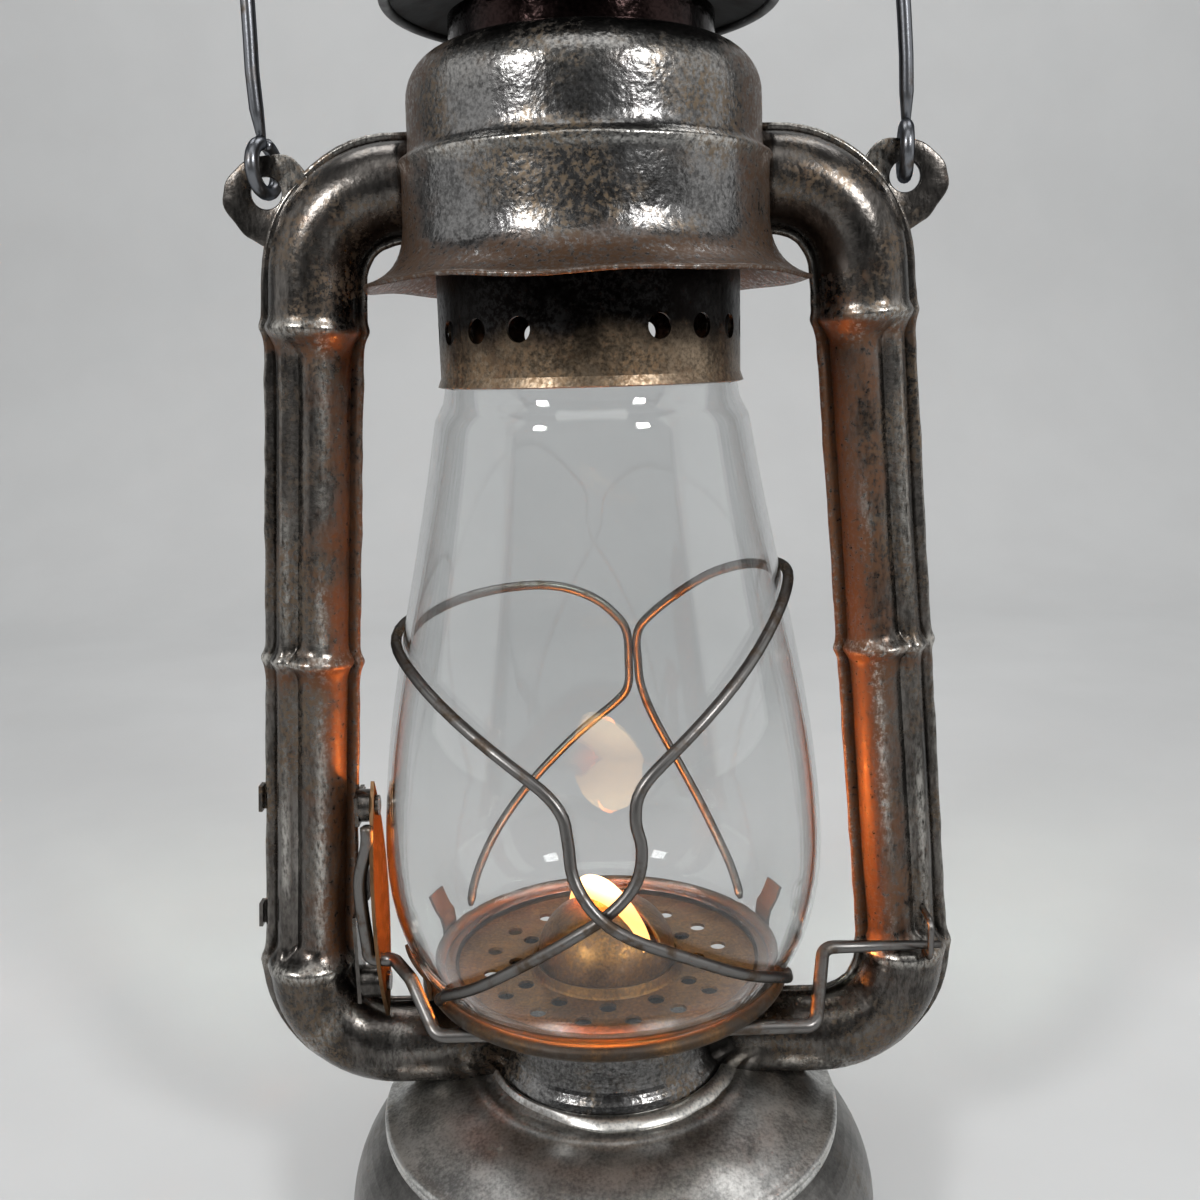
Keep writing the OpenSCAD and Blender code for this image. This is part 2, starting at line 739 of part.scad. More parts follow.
module right_tube_back() mirror([0, 1, 0]) right_tube();
module left_tube_front() mirror([1, 0, 0]) right_tube();
module left_tube_back() mirror([1, 0, 0]) mirror([0, 1, 0]) right_tube();

// Hood

hood_step_z = 269;
hood_upper_r = hood_r - 1.9;
hood_round = 9;
hood_path = concat(
    bow([hood_rim_r - 0.6, hood_rim_z + 0.6], [hood_r, hood_rim_z + 11], -1.6, 7),
    [
        [hood_r, hood_step_z - 1], [hood_r + 0.7, hood_step_z], [hood_r, hood_step_z + 1],
        [hood_upper_r, hood_step_z + 1.8]
    ],
    arc([hood_upper_r - hood_round, hood_top_z - hood_round], hood_round, 0, 90, 9)
);
hood_in_r = hood_r - sheet;
floor_hole = ring_r + 1.4;
chamber_z = hood_rim_z + 12;

module hood_shell() {
    rim_wire = 1.2;
    color(rust) difference() {
        union() {
            turned(concat(hood_path, [[neck_r + fit, hood_top_z]]));
            ring_of_wire(hood_rim_r - rim_wire, hood_rim_z + rim_wire / 2, rim_wire);
        }
        translate([0, 0, tube_top_z]) rotate([0, 90, 0])
            cylinder(r = tube_r - tube_sheet, h = 3 * hood_r, center = true);
    }
}
module chamber_floor() {
    color(rust) difference() {
        translate([0, 0, chamber_z]) cylinder(r = hood_in_r - fit, h = sheet);
        translate([0, 0, chamber_z - past]) cylinder(r = floor_hole, h = sheet + 2 * past);
    }
}
module intake_collar() {
    seat = hood_top_z - sheet - fit;
    color(dark_steel) rotate_extrude() polygon([
        [neck_r - sheet, seat - sheet], [neck_r + 1.6, seat - sheet], [neck_r + 1.6, seat],
        [neck_r, seat], [neck_r, hood_top_z + 7], [neck_r - sheet, hood_top_z + 7]
    ]);
}

// Chimney that rides on the globe

ring_sheet = 0.7;
ring_low_z = globe_top_z - 4;
ring_top = ring_low_z + 27;
flue_low = ring_top + 6;
flue_top = brim_z + 12;
sleeve_r = flue_r + fit + ring_sheet;
cap_r = 28;
cap_wall_h = 10;

module chimney_ring() {
    lip = 0.7;
    stop = 0.9;
    holes_side = 8;
    first = 25;
    color(rust) difference() {
        union() {
            turned(concat(
                [[ring_r + lip, ring_low_z], [ring_r, ring_low_z + 2], [ring_r, ring_top]],
                bow([ring_r - 0.8, ring_top + 1.5], [sleeve_r + 0.8, flue_low + 2], -0.6, 6),
                [[sleeve_r, flue_low + 3.5], [sleeve_r, flue_low + 8]]
            ), ring_sheet);
            ring_of_wire(ring_r - ring_sheet - stop / 2, globe_top_z + run + stop, stop);
        }
        for (s = [-1, 1]) for (k = [0:holes_side - 1])
            rotate(s * (first + k * (180 - 2 * first) / (holes_side - 1)) - 90)
                translate([ring_r, 0, ring_low_z + 11.5]) rotate([0, 90, 0])
                    cylinder(r = 2.6, h = 6, center = true);
    }
}
module chimney_tube() {
    color(dark_steel) translate([0, 0, flue_low]) difference() {
        cylinder(r = flue_r, h = flue_top - flue_low);
        translate([0, 0, -past]) cylinder(r = flue_r - sheet, h = flue_top - flue_low + 2 * past);
    }
}

canopy_rise = 6;
function canopy_z(r) = brim_z + canopy_rise * (brim_r - r) / (brim_r - sleeve_r);

module canopy() {
    bead = 1.2;
    color(dark_steel) union() {
        turned([
            [brim_r, brim_z], [sleeve_r + 1, canopy_z(sleeve_r + 1)],
            [sleeve_r, brim_z + canopy_rise + 1], [sleeve_r, brim_z + canopy_rise + 4]
        ]);
        ring_of_wire(brim_r - 0.5, brim_z - sheet / 2, bead);
    }
}
module cap_dome() {
    base_z = canopy_z(cap_r - sheet) + fit;
    wall_z = base_z + cap_wall_h;
    vents = 14;
    color(dark_steel) difference() {
        turned(concat(
            [[cap_r, base_z], [cap_r, wall_z]],
            [for (k = [1:8]) [cap_r * cos(k * 10.5), mix(wall_z, cap_top_z, sin(k * 10.5))]],
            [[1, cap_top_z], [0, cap_top_z]]
        ));
        for (k = [0:vents - 1]) rotate(k * 360 / vents)
            translate([cap_r, 0, mix(base_z, wall_z, 0.6)]) rotate([0, 90, 0])
                cylinder(r = 2.6, h = 6, center = true);
    }
}
module cap_loop() {
    wire = 1.2;
    half = 8;
    wall_z = canopy_z(cap_r - sheet) + fit + cap_wall_h;
    foot = mix(wall_z, cap_top_z, sqrt(1 - pow((half - wire) / cap_r, 2))) + fit;
    color(wire_grey) bent_wire([
        [-half, 0, foot], [-half, 0, cap_top_z + 10], [half, 0, cap_top_z + 10], [half, 0, foot]
    ], wire, 5);
}

// Leaf-shaped plate on the left tube, its two straps, and the staple on the right tube

leaf_y = -journal_y + 5.5;
leaf_low_z = 70;
leaf_high_z = 131;
leaf_half = 9;
leaf_mid_z = (leaf_low_z + leaf_high_z) / 2;
leaf_round = (pow((leaf_high_z - leaf_low_z) / 2, 2) + pow(leaf_half, 2)) / (2 * leaf_half);
stud_r = 3.9;
rivet_r = 1.5;
stud_high_z = 125;
stud_low_z = 79.5;
strap_t = 0.9;
strap_high = [stud_high_z - 3.2, stud_high_z + 3.2];
strap_low = [92, 98];

// Children drawn in the plane of Y and Z become a plate along X, from x0
module in_side_plane(x0, t) {
    placed([x0, 0, 0], [0, 1, 0], [0, 0, 1], [1, 0, 0]) linear_extrude(t) children();
}
module guide_plate() {
    color(brass) in_side_plane(leaf_x - leaf_t, leaf_t) difference() {
        intersection_for (s = [-1, 1])
            translate([leaf_y + s * (leaf_round - leaf_half), leaf_mid_z]) circle(leaf_round);
        translate([-journal_y, journal_z]) circle(crank_r + bearing);
        for (z = [stud_high_z, stud_low_z]) translate([leaf_y, z]) circle(rivet_r + fit);
    }
}
module stud(z, root_x) {
    face_x = leaf_x - leaf_t - fit / 2;
    translate([root_x, leaf_y, z]) rotate([0, 90, 0]) cylinder(r = stud_r, h = face_x - root_x);
    translate([root_x, leaf_y, z]) rotate([0, 90, 0]) cylinder(r = rivet_r, h = leaf_x + fit - root_x);
    translate([leaf_x + fit / 2, leaf_y, z]) rotate([0, 90, 0]) cylinder(r = 2.4, h = 0.8);
}
// Band round the back of the left tube, closed over both seam flanges
module strap_band(z) {
    side = flange_t + fit;
    far = leg_edge + 0.4 + fit;
    near = leg_half + fit + strap_t / 2;
    top = leg_at(z[1]);
    mirror([1, 0, 0]) rotate([90, 0, 0]) placed([top[0], top[1], 0],
        [-leg_way[1], leg_way[0], 0], [0, 0, 1], [leg_way[0], leg_way[1], 0])
    linear_extrude(norm(leg_at(z[0]) - top)) {
        difference() {
            leg_section(strap_t + fit);
            leg_section(fit);
            translate([-50, -side]) square([100, 50]);
        }
        for (s = [-1, 1]) translate([s * (far + near) / 2, -side - strap_t / 2])
            square([far - near + strap_t, strap_t], center = true);
        for (s = [-1, 1]) translate([s * (far + strap_t / 2 - 0.01), 0])
            square([strap_t, 2 * (side + strap_t)], center = true);
    }
}
// Plate of the strap that stands beside the inner flange and carries the stud
module strap_cheek(low_z, band, root_x) {
    start = [root_x, leaf_y - stud_r];
    translate([start[0], start[1], low_z]) cube([strap_t, 2 * stud_r, band[1] - low_z]);
    translate([start[0], start[1], band[0]])
        cube([strap_t, stud_r - leaf_y + flange_t + fit, band[1] - band[0]]);
}
function inner_face(z) = -(leg_at(z)[0] - leg_edge - 0.4 - fit);

module upper_strap() {
    root = inner_face(strap_high[1]) - 0.1;
    color(dark_steel) union() {
        strap_band(strap_high);
        strap_cheek(stud_high_z - stud_r, strap_high, root);
        stud(stud_high_z, root);
    }
}
module lower_strap() {
    root = inner_face(strap_low[1]) - 0.1;
    color(dark_steel) union() {
        strap_band(strap_low);
        strap_cheek(stud_low_z - stud_r, strap_low, root);
        stud(stud_low_z, root);
    }
}
module crank_staple() {
    wire = 0.75;
    staple_x = 77;
    leg_y = -side_lobe[1] - side_lobe[2] - fit;
    bar_y = -journal_y - crank_r - run - wire;
    low = journal_z - crank_r - run - wire;
    high = journal_z + 7;
    color(wire_grey) bent_wire([
        [staple_x, leg_y, high], [staple_x, bar_y, high], [staple_x, bar_y, low], [staple_x, leg_y, low]
    ], wire, 2.2);
}

// Bail

module bail() {
    spring_z = bail_z + eye_r + bail_leg;
    leg_r = bail_r - sleeve_grow;
    color(wire_grey) union() {
        for (s = [-1, 1]) {
            translate([s * bail_x, 0, bail_z]) rotate([0, 90, 0])
                rotate_extrude() translate([eye_r, 0]) circle(bail_r);
            translate([s * bail_x, 0, bail_z + eye_r]) cylinder(r = leg_r, h = bail_leg);
        }
        translate([0, 0, spring_z]) rotate([90, 0, 0])
            rotate_extrude(angle = 180) translate([bail_x, 0]) circle(leg_r);
    }
}

tank_bowl();
tank_top();
filler_neck();
air_collar();
burner_body();
burner_cone();
wick_tube();
left_tube_front();
left_tube_back();
right_tube_front();
right_tube_back();
hood_shell();
chamber_floor();
intake_collar();
upper_strap();
lower_strap();
guide_plate();
crank_staple();
bail();
gallery_plate();
globe();
guard_wire_left();
guard_wire_right();
globe_clips();
crank_wire();
thumb_tab();
chimney_ring();
chimney_tube();
canopy();
cap_dome();
cap_loop();
wick();
wick_shaft();
wick_sprockets();
wick_knob();
filler_cap();
cap_gasket();
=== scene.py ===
import math

import bmesh
import bpy
from mathutils import Matrix, Vector, noise


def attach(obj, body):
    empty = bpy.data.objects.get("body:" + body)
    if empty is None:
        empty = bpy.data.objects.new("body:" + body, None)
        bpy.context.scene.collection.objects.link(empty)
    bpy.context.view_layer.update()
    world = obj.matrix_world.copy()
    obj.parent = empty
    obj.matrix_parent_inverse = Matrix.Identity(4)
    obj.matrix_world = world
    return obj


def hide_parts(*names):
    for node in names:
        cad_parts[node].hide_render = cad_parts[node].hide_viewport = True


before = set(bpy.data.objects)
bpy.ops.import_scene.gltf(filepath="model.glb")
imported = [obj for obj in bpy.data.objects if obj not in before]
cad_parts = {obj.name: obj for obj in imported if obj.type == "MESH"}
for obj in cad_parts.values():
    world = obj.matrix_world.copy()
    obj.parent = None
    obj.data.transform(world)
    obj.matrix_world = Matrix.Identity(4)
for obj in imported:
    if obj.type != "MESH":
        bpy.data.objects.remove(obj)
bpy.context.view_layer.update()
MM = 0.001


# Materials

SMOOTH = {"interpolation_type": "SMOOTHSTEP"}
RGBA = {"data_type": "RGBA"}


def linear(hex_colour):
    """sRGB hex to linear RGBA."""
    parts = [int(hex_colour[i:i + 2], 16) / 255 for i in (1, 3, 5)]
    return [c / 12.92 if c <= 0.04045 else ((c + 0.055) / 1.055) ** 2.4 for c in parts] + [1.0]


def add(tree, kind, inputs=None, out=0, **settings):
    """Adds one node with its settings, its constants and its links, and gives one of its outputs."""
    made = tree.nodes.new("ShaderNode" + kind)
    for key, value in settings.items():
        setattr(made, key, value)
    for key, value in (inputs or {}).items():
        if isinstance(value, bpy.types.NodeSocket):
            tree.links.new(value, made.inputs[key])
        else:
            made.inputs[key].default_value = value
    return made.outputs[out] if made.outputs else None


def per_metre(size_mm):
    """Texture scale for a pattern whose marks are about size_mm across."""
    return 1 / (size_mm * MM)


def new_material(name):
    made = bpy.data.materials.new(name)
    made.use_nodes = True
    made.node_tree.nodes.clear()
    return made, made.node_tree


def aged_sheet(name, base, freckle, rust, freckled, rusted, rough, peel_mm, peel_depth,
               soot_and_shade=None, drawn=1.0, fine=1.0, deep=0.3, grime=None):
    """Old tinned sheet: dark clouds and fine grain in the tin, tan freckles in drifts, brown rust where
    the sheet is marked browned (on the tubes' inner flanks partly painted orange glow), and bright tin where
    it is marked with wear and painted highlight. Black soot, together with painted shade, sets in between
    two heights, and grime between two distances from the axis, all in metres."""
    made, tree = new_material(name)
    place = add(tree, "TexCoord", out="Object")
    along = add(tree, "Mapping", {"Vector": place, "Scale": (1, 1, drawn)})
    grain, cloud, speck, drift, patch, peel = (
        add(tree, "TexNoise", {
            "Vector": where, "Scale": per_metre(size_mm), "Detail": detail, "Roughness": sharp}, "Fac")
        for where, size_mm, detail, sharp in (
            (along, 0.8, 5, 0.65), (along, 10, 5, 0.65), (place, 1.2, 5, 0.72),
            (place, 17, 4, 0.6), (place, 9, 5, 0.65), (place, peel_mm, 2, 0.5)))

    dark = [c * deep for c in linear(base)[:3]] + [1.0]
    fleck = add(tree, "Math", {0: grain, 1: fine}, operation="MULTIPLY")
    tone = add(tree, "Math", {0: cloud, 1: 1.8 - fine, 2: fleck}, operation="MULTIPLY_ADD")
    clean = add(tree, "MapRange", {"Value": tone, "From Min": 0.68, "From Max": 1.1}, **SMOOTH)
    colour = add(tree, "Mix", {"Factor": clean, 6: dark, 7: linear(base)}, 2, **RGBA)

    # Bright tin where worn, and on the tubes also painted highlight streaks.
    worn = add(tree, "Attribute", out="Fac", attribute_name="worn")
    high_grain = add(tree, "MapRange", {"Value": grain, "From Min": 0.3, "From Max": 0.62}, **SMOOTH)
    bright = add(tree, "Math", {0: worn, 1: high_grain}, operation="MULTIPLY")
    colour = add(tree, "Mix", {"Factor": bright, 6: colour, 7: linear("#d2cfc8")}, 2, **RGBA)

    dots = add(tree, "MapRange", {
        "Value": speck, "From Min": 0.42, "From Max": 0.62, "To Max": 0.85}, **SMOOTH)
    drifts = add(tree, "MapRange", {
        "Value": drift, "From Min": 0.72 - 0.5 * freckled, "From Max": 0.92 - 0.5 * freckled}, **SMOOTH)
    spots = add(tree, "Math", {0: dots, 1: drifts}, operation="MULTIPLY")
    colour = add(tree, "Mix", {"Factor": spots, 6: colour, 7: linear(freckle)}, 2, **RGBA)

    browned = add(tree, "Attribute", out="Fac", attribute_name="browned")
    share = add(tree, "Math", {0: browned, 1: rusted}, operation="ADD")
    rusty = add(tree, "Math", {0: share, 1: 0.9, 2: patch}, operation="MULTIPLY_ADD")
    patches = add(tree, "MapRange", {"Value": rusty, "From Min": 0.62, "From Max": 1.05}, **SMOOTH)
    crumbs = add(tree, "MapRange", {"Value": speck, "From Min": 0.3, "From Max": 0.56}, **SMOOTH)
    brown = add(tree, "Math", {0: patches, 1: crumbs}, operation="MULTIPLY")
    colour = add(tree, "Mix", {"Factor": brown, 6: colour, 7: linear(rust)}, 2, **RGBA)

    dull = add(tree, "Math", {0: spots, 1: brown}, operation="MAXIMUM")
    gloss = add(tree, "MapRange", {"Value": dull, "To Min": rough, "To Max": rough + 0.22}, **SMOOTH)
    tin_left = add(tree, "MapRange", {"Value": spots, "To Min": 1.0, "To Max": 0.65}, **SMOOTH)
    metal = add(tree, "MapRange", {"Value": brown, "To Min": tin_left, "To Max": 0.45}, **SMOOTH)
    bump = add(tree, "Bump", {"Height": grain, "Strength": 0.4 * fine, "Distance": 0.06 * MM})
    bump = add(tree, "Bump", {
        "Height": peel, "Strength": 0.7, "Distance": peel_depth * MM, "Normal": bump})

    if grime:
        flat = add(tree, "VectorMath", {0: place, 1: (1, 1, 0)}, operation="MULTIPLY")
        reach = add(tree, "VectorMath", {0: flat}, "Value", operation="LENGTH")
        zone = add(tree, "MapRange", {"Value": reach, "From Min": grime[0], "From Max": grime[1]}, **SMOOTH)
        smear = add(tree, "MapRange", {
            "Value": patch, "From Min": 0.35, "From Max": 0.6, "To Min": 0.6, "To Max": 0.95}, **SMOOTH)
        dirt = add(tree, "Math", {0: zone, 1: smear}, operation="MULTIPLY")
        colour = add(tree, "Mix", {"Factor": dirt, 6: colour, 7: linear("#403b36")}, 2, **RGBA)
        gloss = add(tree, "MapRange", {"Value": dirt, "To Min": gloss, "To Max": 0.55}, **SMOOTH)
    # Black towards the top: soot together with painted shade.
    if soot_and_shade:
        height = add(tree, "SeparateXYZ", {"Vector": place}, "Z")
        soot_and_shade_height = add(tree, "Math", {0: patch, 1: 0.012, 2: height}, operation="MULTIPLY_ADD")
        black = add(tree, "MapRange", {"Value": soot_and_shade_height, "From Min": soot_and_shade[0], "From Max": soot_and_shade[1]}, **SMOOTH)
        colour = add(tree, "Mix", {"Factor": black, 6: colour, 7: linear("#0c0a09")}, 2, **RGBA)
    skin = add(tree, "BsdfPrincipled", {
        "Base Color": colour, "Metallic": metal, "Roughness": gloss, "Normal": bump})
    add(tree, "OutputMaterial", {"Surface": skin})
    return made


def plain_metal(name, base, stain_colour, rough, stain_mm, stain_from, bump_mm, bump_depth):
    """Drawn or pressed metal with a thin broken stain."""
    made, tree = new_material(name)
    place = add(tree, "TexCoord", out="Object")
    blot = add(tree, "TexNoise", {
        "Vector": place, "Scale": per_metre(stain_mm), "Detail": 5, "Roughness": 0.6}, "Fac")
    stain = add(tree, "MapRange", {
        "Value": blot, "From Min": stain_from, "From Max": stain_from + 0.2}, **SMOOTH)
    colour = add(tree, "Mix", {"Factor": stain, 6: linear(base), 7: linear(stain_colour)}, 2, **RGBA)
    gloss = add(tree, "MapRange", {"Value": stain, "To Min": rough, "To Max": rough + 0.22}, **SMOOTH)
    ripple = add(tree, "TexNoise", {
        "Vector": place, "Scale": per_metre(bump_mm), "Detail": 3, "Roughness": 0.55}, "Fac")
    bump = add(tree, "Bump", {"Height": ripple, "Strength": 0.4, "Distance": bump_depth * MM})
    skin = add(tree, "BsdfPrincipled", {
        "Base Color": colour, "Metallic": 1.0, "Roughness": gloss, "Specular Tint": linear(base),
        "Normal": bump})
    add(tree, "OutputMaterial", {"Surface": skin})
    return made


# Hot-dipped tinplate of the tank, dulled: grey sheen, clouded dark, with a few tan freckles
TINPLATE = aged_sheet(
    "aged_tinplate", base="#d2d1ce", freckle="#85785f", rust="#4e3a2a", freckled=0.3, rusted=-0.1,
    rough=0.34, peel_mm=4.0, peel_depth=0.2, fine=0.85, deep=0.42)
# Foot of the tank: the same sheet, handled more and darker
BOWL_TIN = aged_sheet(
    "darkened_tinplate", base="#83817e", freckle="#6d6150", rust="#4e3a2a", freckled=0.4, rusted=-0.05,
    rough=0.36, peel_mm=4.0, peel_depth=0.16, fine=0.6, deep=0.55)
# The same sheet on the tubes: streaked down their length, bright on beads, with painted highlight streaks on
# the crests; brown at the seams, and on the inner flanks partly painted orange glow
TUBE_TIN = aged_sheet(
    "aged_tinplate_tubes", base="#686460", freckle="#645340", rust="#5a3a22", freckled=0.58, rusted=0.12,
    rough=0.26, peel_mm=1.6, peel_depth=0.12, drawn=0.35, fine=0.8)
# Heated tinplate of the hood: pitted like orange peel, tan and brown at its sides and rim
HOOD_TIN = aged_sheet(
    "heated_tinplate", base="#7f7e7d", freckle="#6c5b45", rust="#4b3523", freckled=0.54, rusted=0.1,
    rough=0.24, peel_mm=1.5, peel_depth=0.2)
# Sooty sheet of the chimney: brown-black and dull
SOOT_TIN = aged_sheet(
    "sooty_tinplate", base="#3b342f", freckle="#4b3d30", rust="#3c2a1f", freckled=0.7, rusted=0.3,
    rough=0.42, peel_mm=1.5, peel_depth=0.1)
# Perforated ring: black above, soot together with painted shade under the hood; warm brown below
RING_TIN = aged_sheet(
    "sooted_shaded_ring_tinplate", base="#94836f", freckle="#7b6247", rust="#5c3f2b", freckled=0.7, rusted=0.2,
    rough=0.34, peel_mm=1.5, peel_depth=0.12, soot_and_shade=(0.229, 0.242))
# Black varnish over steel on the collar: deep and wet-looking, with a red cast
BLACK_STEEL = aged_sheet(
    "blackened_steel", base="#2a201f", freckle="#251c1a", rust="#2e1815", freckled=0.2, rusted=0.1,
    rough=0.16, peel_mm=2.5, peel_depth=0.2)
# Scorched tinplate of the gallery: brown and straw with dark freckles, and a grimy rim
GALLERY_TIN = aged_sheet(
    "scorched_tinplate", base="#946a3a", freckle="#4f3a24", rust="#5c3d24", freckled=0.7, rusted=0.2,
    rough=0.38, peel_mm=1.5, peel_depth=0.08, grime=(0.0405, 0.0415))
# Drawn steel wire: smooth grey with a blue cast and a little brown
WIRE = plain_metal(
    "drawn_steel_wire", base="#74767a", stain_colour="#5a524b", rough=0.3,
    stain_mm=6, stain_from=0.52, bump_mm=0.6, bump_depth=0.05)
# Older steel wire near the heat: the same grey, duller and browner
DARK_WIRE = plain_metal(
    "dark_steel_wire", base="#73716f", stain_colour="#584d43", rough=0.34,
    stain_mm=5, stain_from=0.48, bump_mm=0.9, bump_depth=0.06)
# Copper-washed plate: orange-brown, stained darker by heat
COPPER = plain_metal(
    "copper_washed_plate", base="#7b5f45", stain_colour="#503d2c", rough=0.42,
    stain_mm=9, stain_from=0.44, bump_mm=1.6, bump_depth=0.04)
# Brass that has browned: dull gold with dark blots
BRASS = plain_metal(
    "browned_brass", base="#8a6c3f", stain_colour="#4a3a26", rough=0.36,
    stain_mm=5, stain_from=0.46, bump_mm=0.7, bump_depth=0.05)


def burnt_enamel():
    """Burnt black of the canopy and cap: dead black with soot, with a soft sheen on the rolled edge."""
    made, tree = new_material("burnt_black_enamel")
    place = add(tree, "TexCoord", out="Object")
    patch = add(tree, "TexNoise", {
        "Vector": place, "Scale": per_metre(7), "Detail": 5, "Roughness": 0.6}, "Fac")
    ashy = add(tree, "MapRange", {"Value": patch, "From Min": 0.35, "From Max": 0.65}, **SMOOTH)
    colour = add(tree, "Mix", {"Factor": ashy, 6: linear("#0e0d0d"), 7: linear("#1d1917")}, 2, **RGBA)
    gloss = add(tree, "MapRange", {
        "Value": patch, "From Min": 0.3, "From Max": 0.7, "To Min": 0.3, "To Max": 0.5}, **SMOOTH)
    bump = add(tree, "Bump", {"Height": patch, "Strength": 0.3, "Distance": 0.2 * MM})
    flat = add(tree, "VectorMath", {0: place, 1: (1, 1, 0)}, operation="MULTIPLY")
    reach = add(tree, "VectorMath", {0: flat}, "Value", operation="LENGTH")
    sheen = add(tree, "MapRange", {
        "Value": reach, "From Min": 0.0402, "From Max": 0.0412, "To Min": 0.04, "To Max": 0.5}, **SMOOTH)
    skin = add(tree, "BsdfPrincipled", {
        "Base Color": colour, "Roughness": gloss, "Specular IOR Level": sheen, "Normal": bump})
    add(tree, "OutputMaterial", {"Surface": skin})
    return made


def lantern_glass():
    """Blown soda glass: clear, with sharp reflections; shadow rays pass so that the burner stays lit."""
    made, tree = new_material("blown_soda_glass")
    skin = add(tree, "BsdfPrincipled", {
        "Base Color": linear("#eff0f0"), "Roughness": 0.0, "IOR": 1.47, "Transmission Weight": 1.0})
    clear = add(tree, "BsdfTransparent", {"Color": linear("#f6faf6")})
    shadow = add(tree, "LightPath", out="Is Shadow Ray")
    mixed = add(tree, "MixShader", {0: shadow, 1: skin, 2: clear})
    add(tree, "OutputMaterial", {"Surface": mixed})
    return made


def flame_light():
    """Paraffin flame: blinding white-yellow, turning orange at its foot."""
    made, tree = new_material("paraffin_flame")
    place = add(tree, "TexCoord", out="Object")
    height = add(tree, "SeparateXYZ", {"Vector": place}, "Z")
    hot = add(tree, "MapRange", {"Value": height, "From Min": 0.096, "From Max": 0.1025}, **SMOOTH)
    colour = add(tree, "Mix", {"Factor": hot, 6: linear("#ffb869"), 7: linear("#ffd49a")}, 2, **RGBA)
    power = add(tree, "MapRange", {"Value": hot, "To Min": 3.0, "To Max": 6.0}, **SMOOTH)
    glow = add(tree, "Emission", {"Color": colour, "Strength": power})
    add(tree, "OutputMaterial", {"Surface": glow})
    return made


def woven_cotton():
    """Flat woven wick: pale cotton rows about 1.2 mm apart, scorched at the top."""
    made, tree = new_material("woven_cotton_wick")
    place = add(tree, "TexCoord", out="Object")
    rows = add(tree, "TexWave", {
        "Vector": place, "Scale": per_metre(1.2) / 6.3, "Distortion": 1.5, "Detail": 1.0}, "Fac",
        bands_direction="Z")
    height = add(tree, "SeparateXYZ", {"Vector": place}, "Z")
    scorch = add(tree, "MapRange", {"Value": height, "From Min": 0.088, "From Max": 0.094}, **SMOOTH)
    cloth = add(tree, "Mix", {"Factor": rows, 6: linear("#9c8f78"), 7: linear("#d8ccb4")}, 2, **RGBA)
    colour = add(tree, "Mix", {"Factor": scorch, 6: cloth, 7: linear("#1c1714")}, 2, **RGBA)
    bump = add(tree, "Bump", {"Height": rows, "Strength": 0.6, "Distance": 0.3 * MM})
    skin = add(tree, "BsdfPrincipled", {"Base Color": colour, "Roughness": 0.9, "Normal": bump})
    add(tree, "OutputMaterial", {"Surface": skin})
    return made


def pressed_cork():
    """Cork seal: dull brown grains about 1.5 mm across."""
    made, tree = new_material("pressed_cork")
    place = add(tree, "TexCoord", out="Object")
    grain = add(tree, "TexVoronoi", {"Vector": place, "Scale": per_metre(1.5)}, "Distance")
    edge = add(tree, "MapRange", {"Value": grain, "From Min": 0.1, "From Max": 0.7}, **SMOOTH)
    colour = add(tree, "Mix", {"Factor": edge, 6: linear("#6b4f36"), 7: linear("#3a2a1e")}, 2, **RGBA)
    bump = add(tree, "Bump", {"Height": grain, "Strength": 0.5, "Distance": 0.3 * MM})
    skin = add(tree, "BsdfPrincipled", {"Base Color": colour, "Roughness": 0.85, "Normal": bump})
    add(tree, "OutputMaterial", {"Surface": skin})
    return made


BURNT_ENAMEL = burnt_enamel()
GLASS = lantern_glass()
FLAME = flame_light()
COTTON = woven_cotton()
CORK = pressed_cork()


# Shapes, in millimetres until they become pieces

def smooth_object(name, bm, material):
    """Object with rounded shading from a bmesh."""
    mesh = bpy.data.meshes.new(name)
    bm.to_mesh(mesh)
    bm.free()
    for face in mesh.polygons:
        face.use_smooth = True
    mesh.materials.append(material)
    obj = bpy.data.objects.new(name, mesh)
    bpy.context.scene.collection.objects.link(obj)
    return obj


def piece(name, bm, material, body, slot, nodes=(), **marks):
    """Makes the piece from a bmesh in millimetres; each mark gives every point its share, such as the share
    of wear and painted highlight.
    """
    bmesh.ops.scale(bm, verts=bm.verts, vec=(MM, MM, MM))
    obj = smooth_object(name, bm, material)
    for mark, share in marks.items():
        shares = obj.data.attributes.new(mark, "FLOAT", "POINT")
        for i, vertex in enumerate(obj.data.vertices):
            shares.data[i].value = max(0.0, min(1.0, share(vertex.co / MM)))
    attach(obj, body)
    if nodes:
        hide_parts(*nodes)
    return obj


def mix(a, b, t):
    return a + (b - a) * t


def smooth_step(low, high, x):
    t = max(0.0, min(1.0, (x - low) / (high - low)))
    return t * t * (3 - 2 * t)


def spun(outline, steps):
    """Closed outline of (radius, height) turned once round the axis."""
    bm = bmesh.new()
    verts = [bm.verts.new((r, 0, z)) for r, z in outline]
    edges = [bm.edges.new((verts[i], verts[(i + 1) % len(verts)])) for i in range(len(verts))]
    bmesh.ops.spin(bm, geom=verts + edges, cent=(0, 0, 0), axis=(0, 0, 1), dvec=(0, 0, 0),
                   angle=2 * math.pi, steps=steps, use_merge=True, use_duplicate=False)
    bmesh.ops.remove_doubles(bm, verts=bm.verts, dist=0.0005)
    bmesh.ops.recalc_face_normals(bm, faces=bm.faces)
    return bm


def wall(path, thick):
    """Outline of a sheet: the outer path, then the inner one back."""
    inner = []
    for i, (r, z) in enumerate(path):
        a = Vector(path[max(i - 1, 0)])
        b = Vector(path[min(i + 1, len(path) - 1)])
        way = (b - a).normalized()
        inner.append((r - thick * way.y, z + thick * way.x))
    return list(path) + inner[::-1]


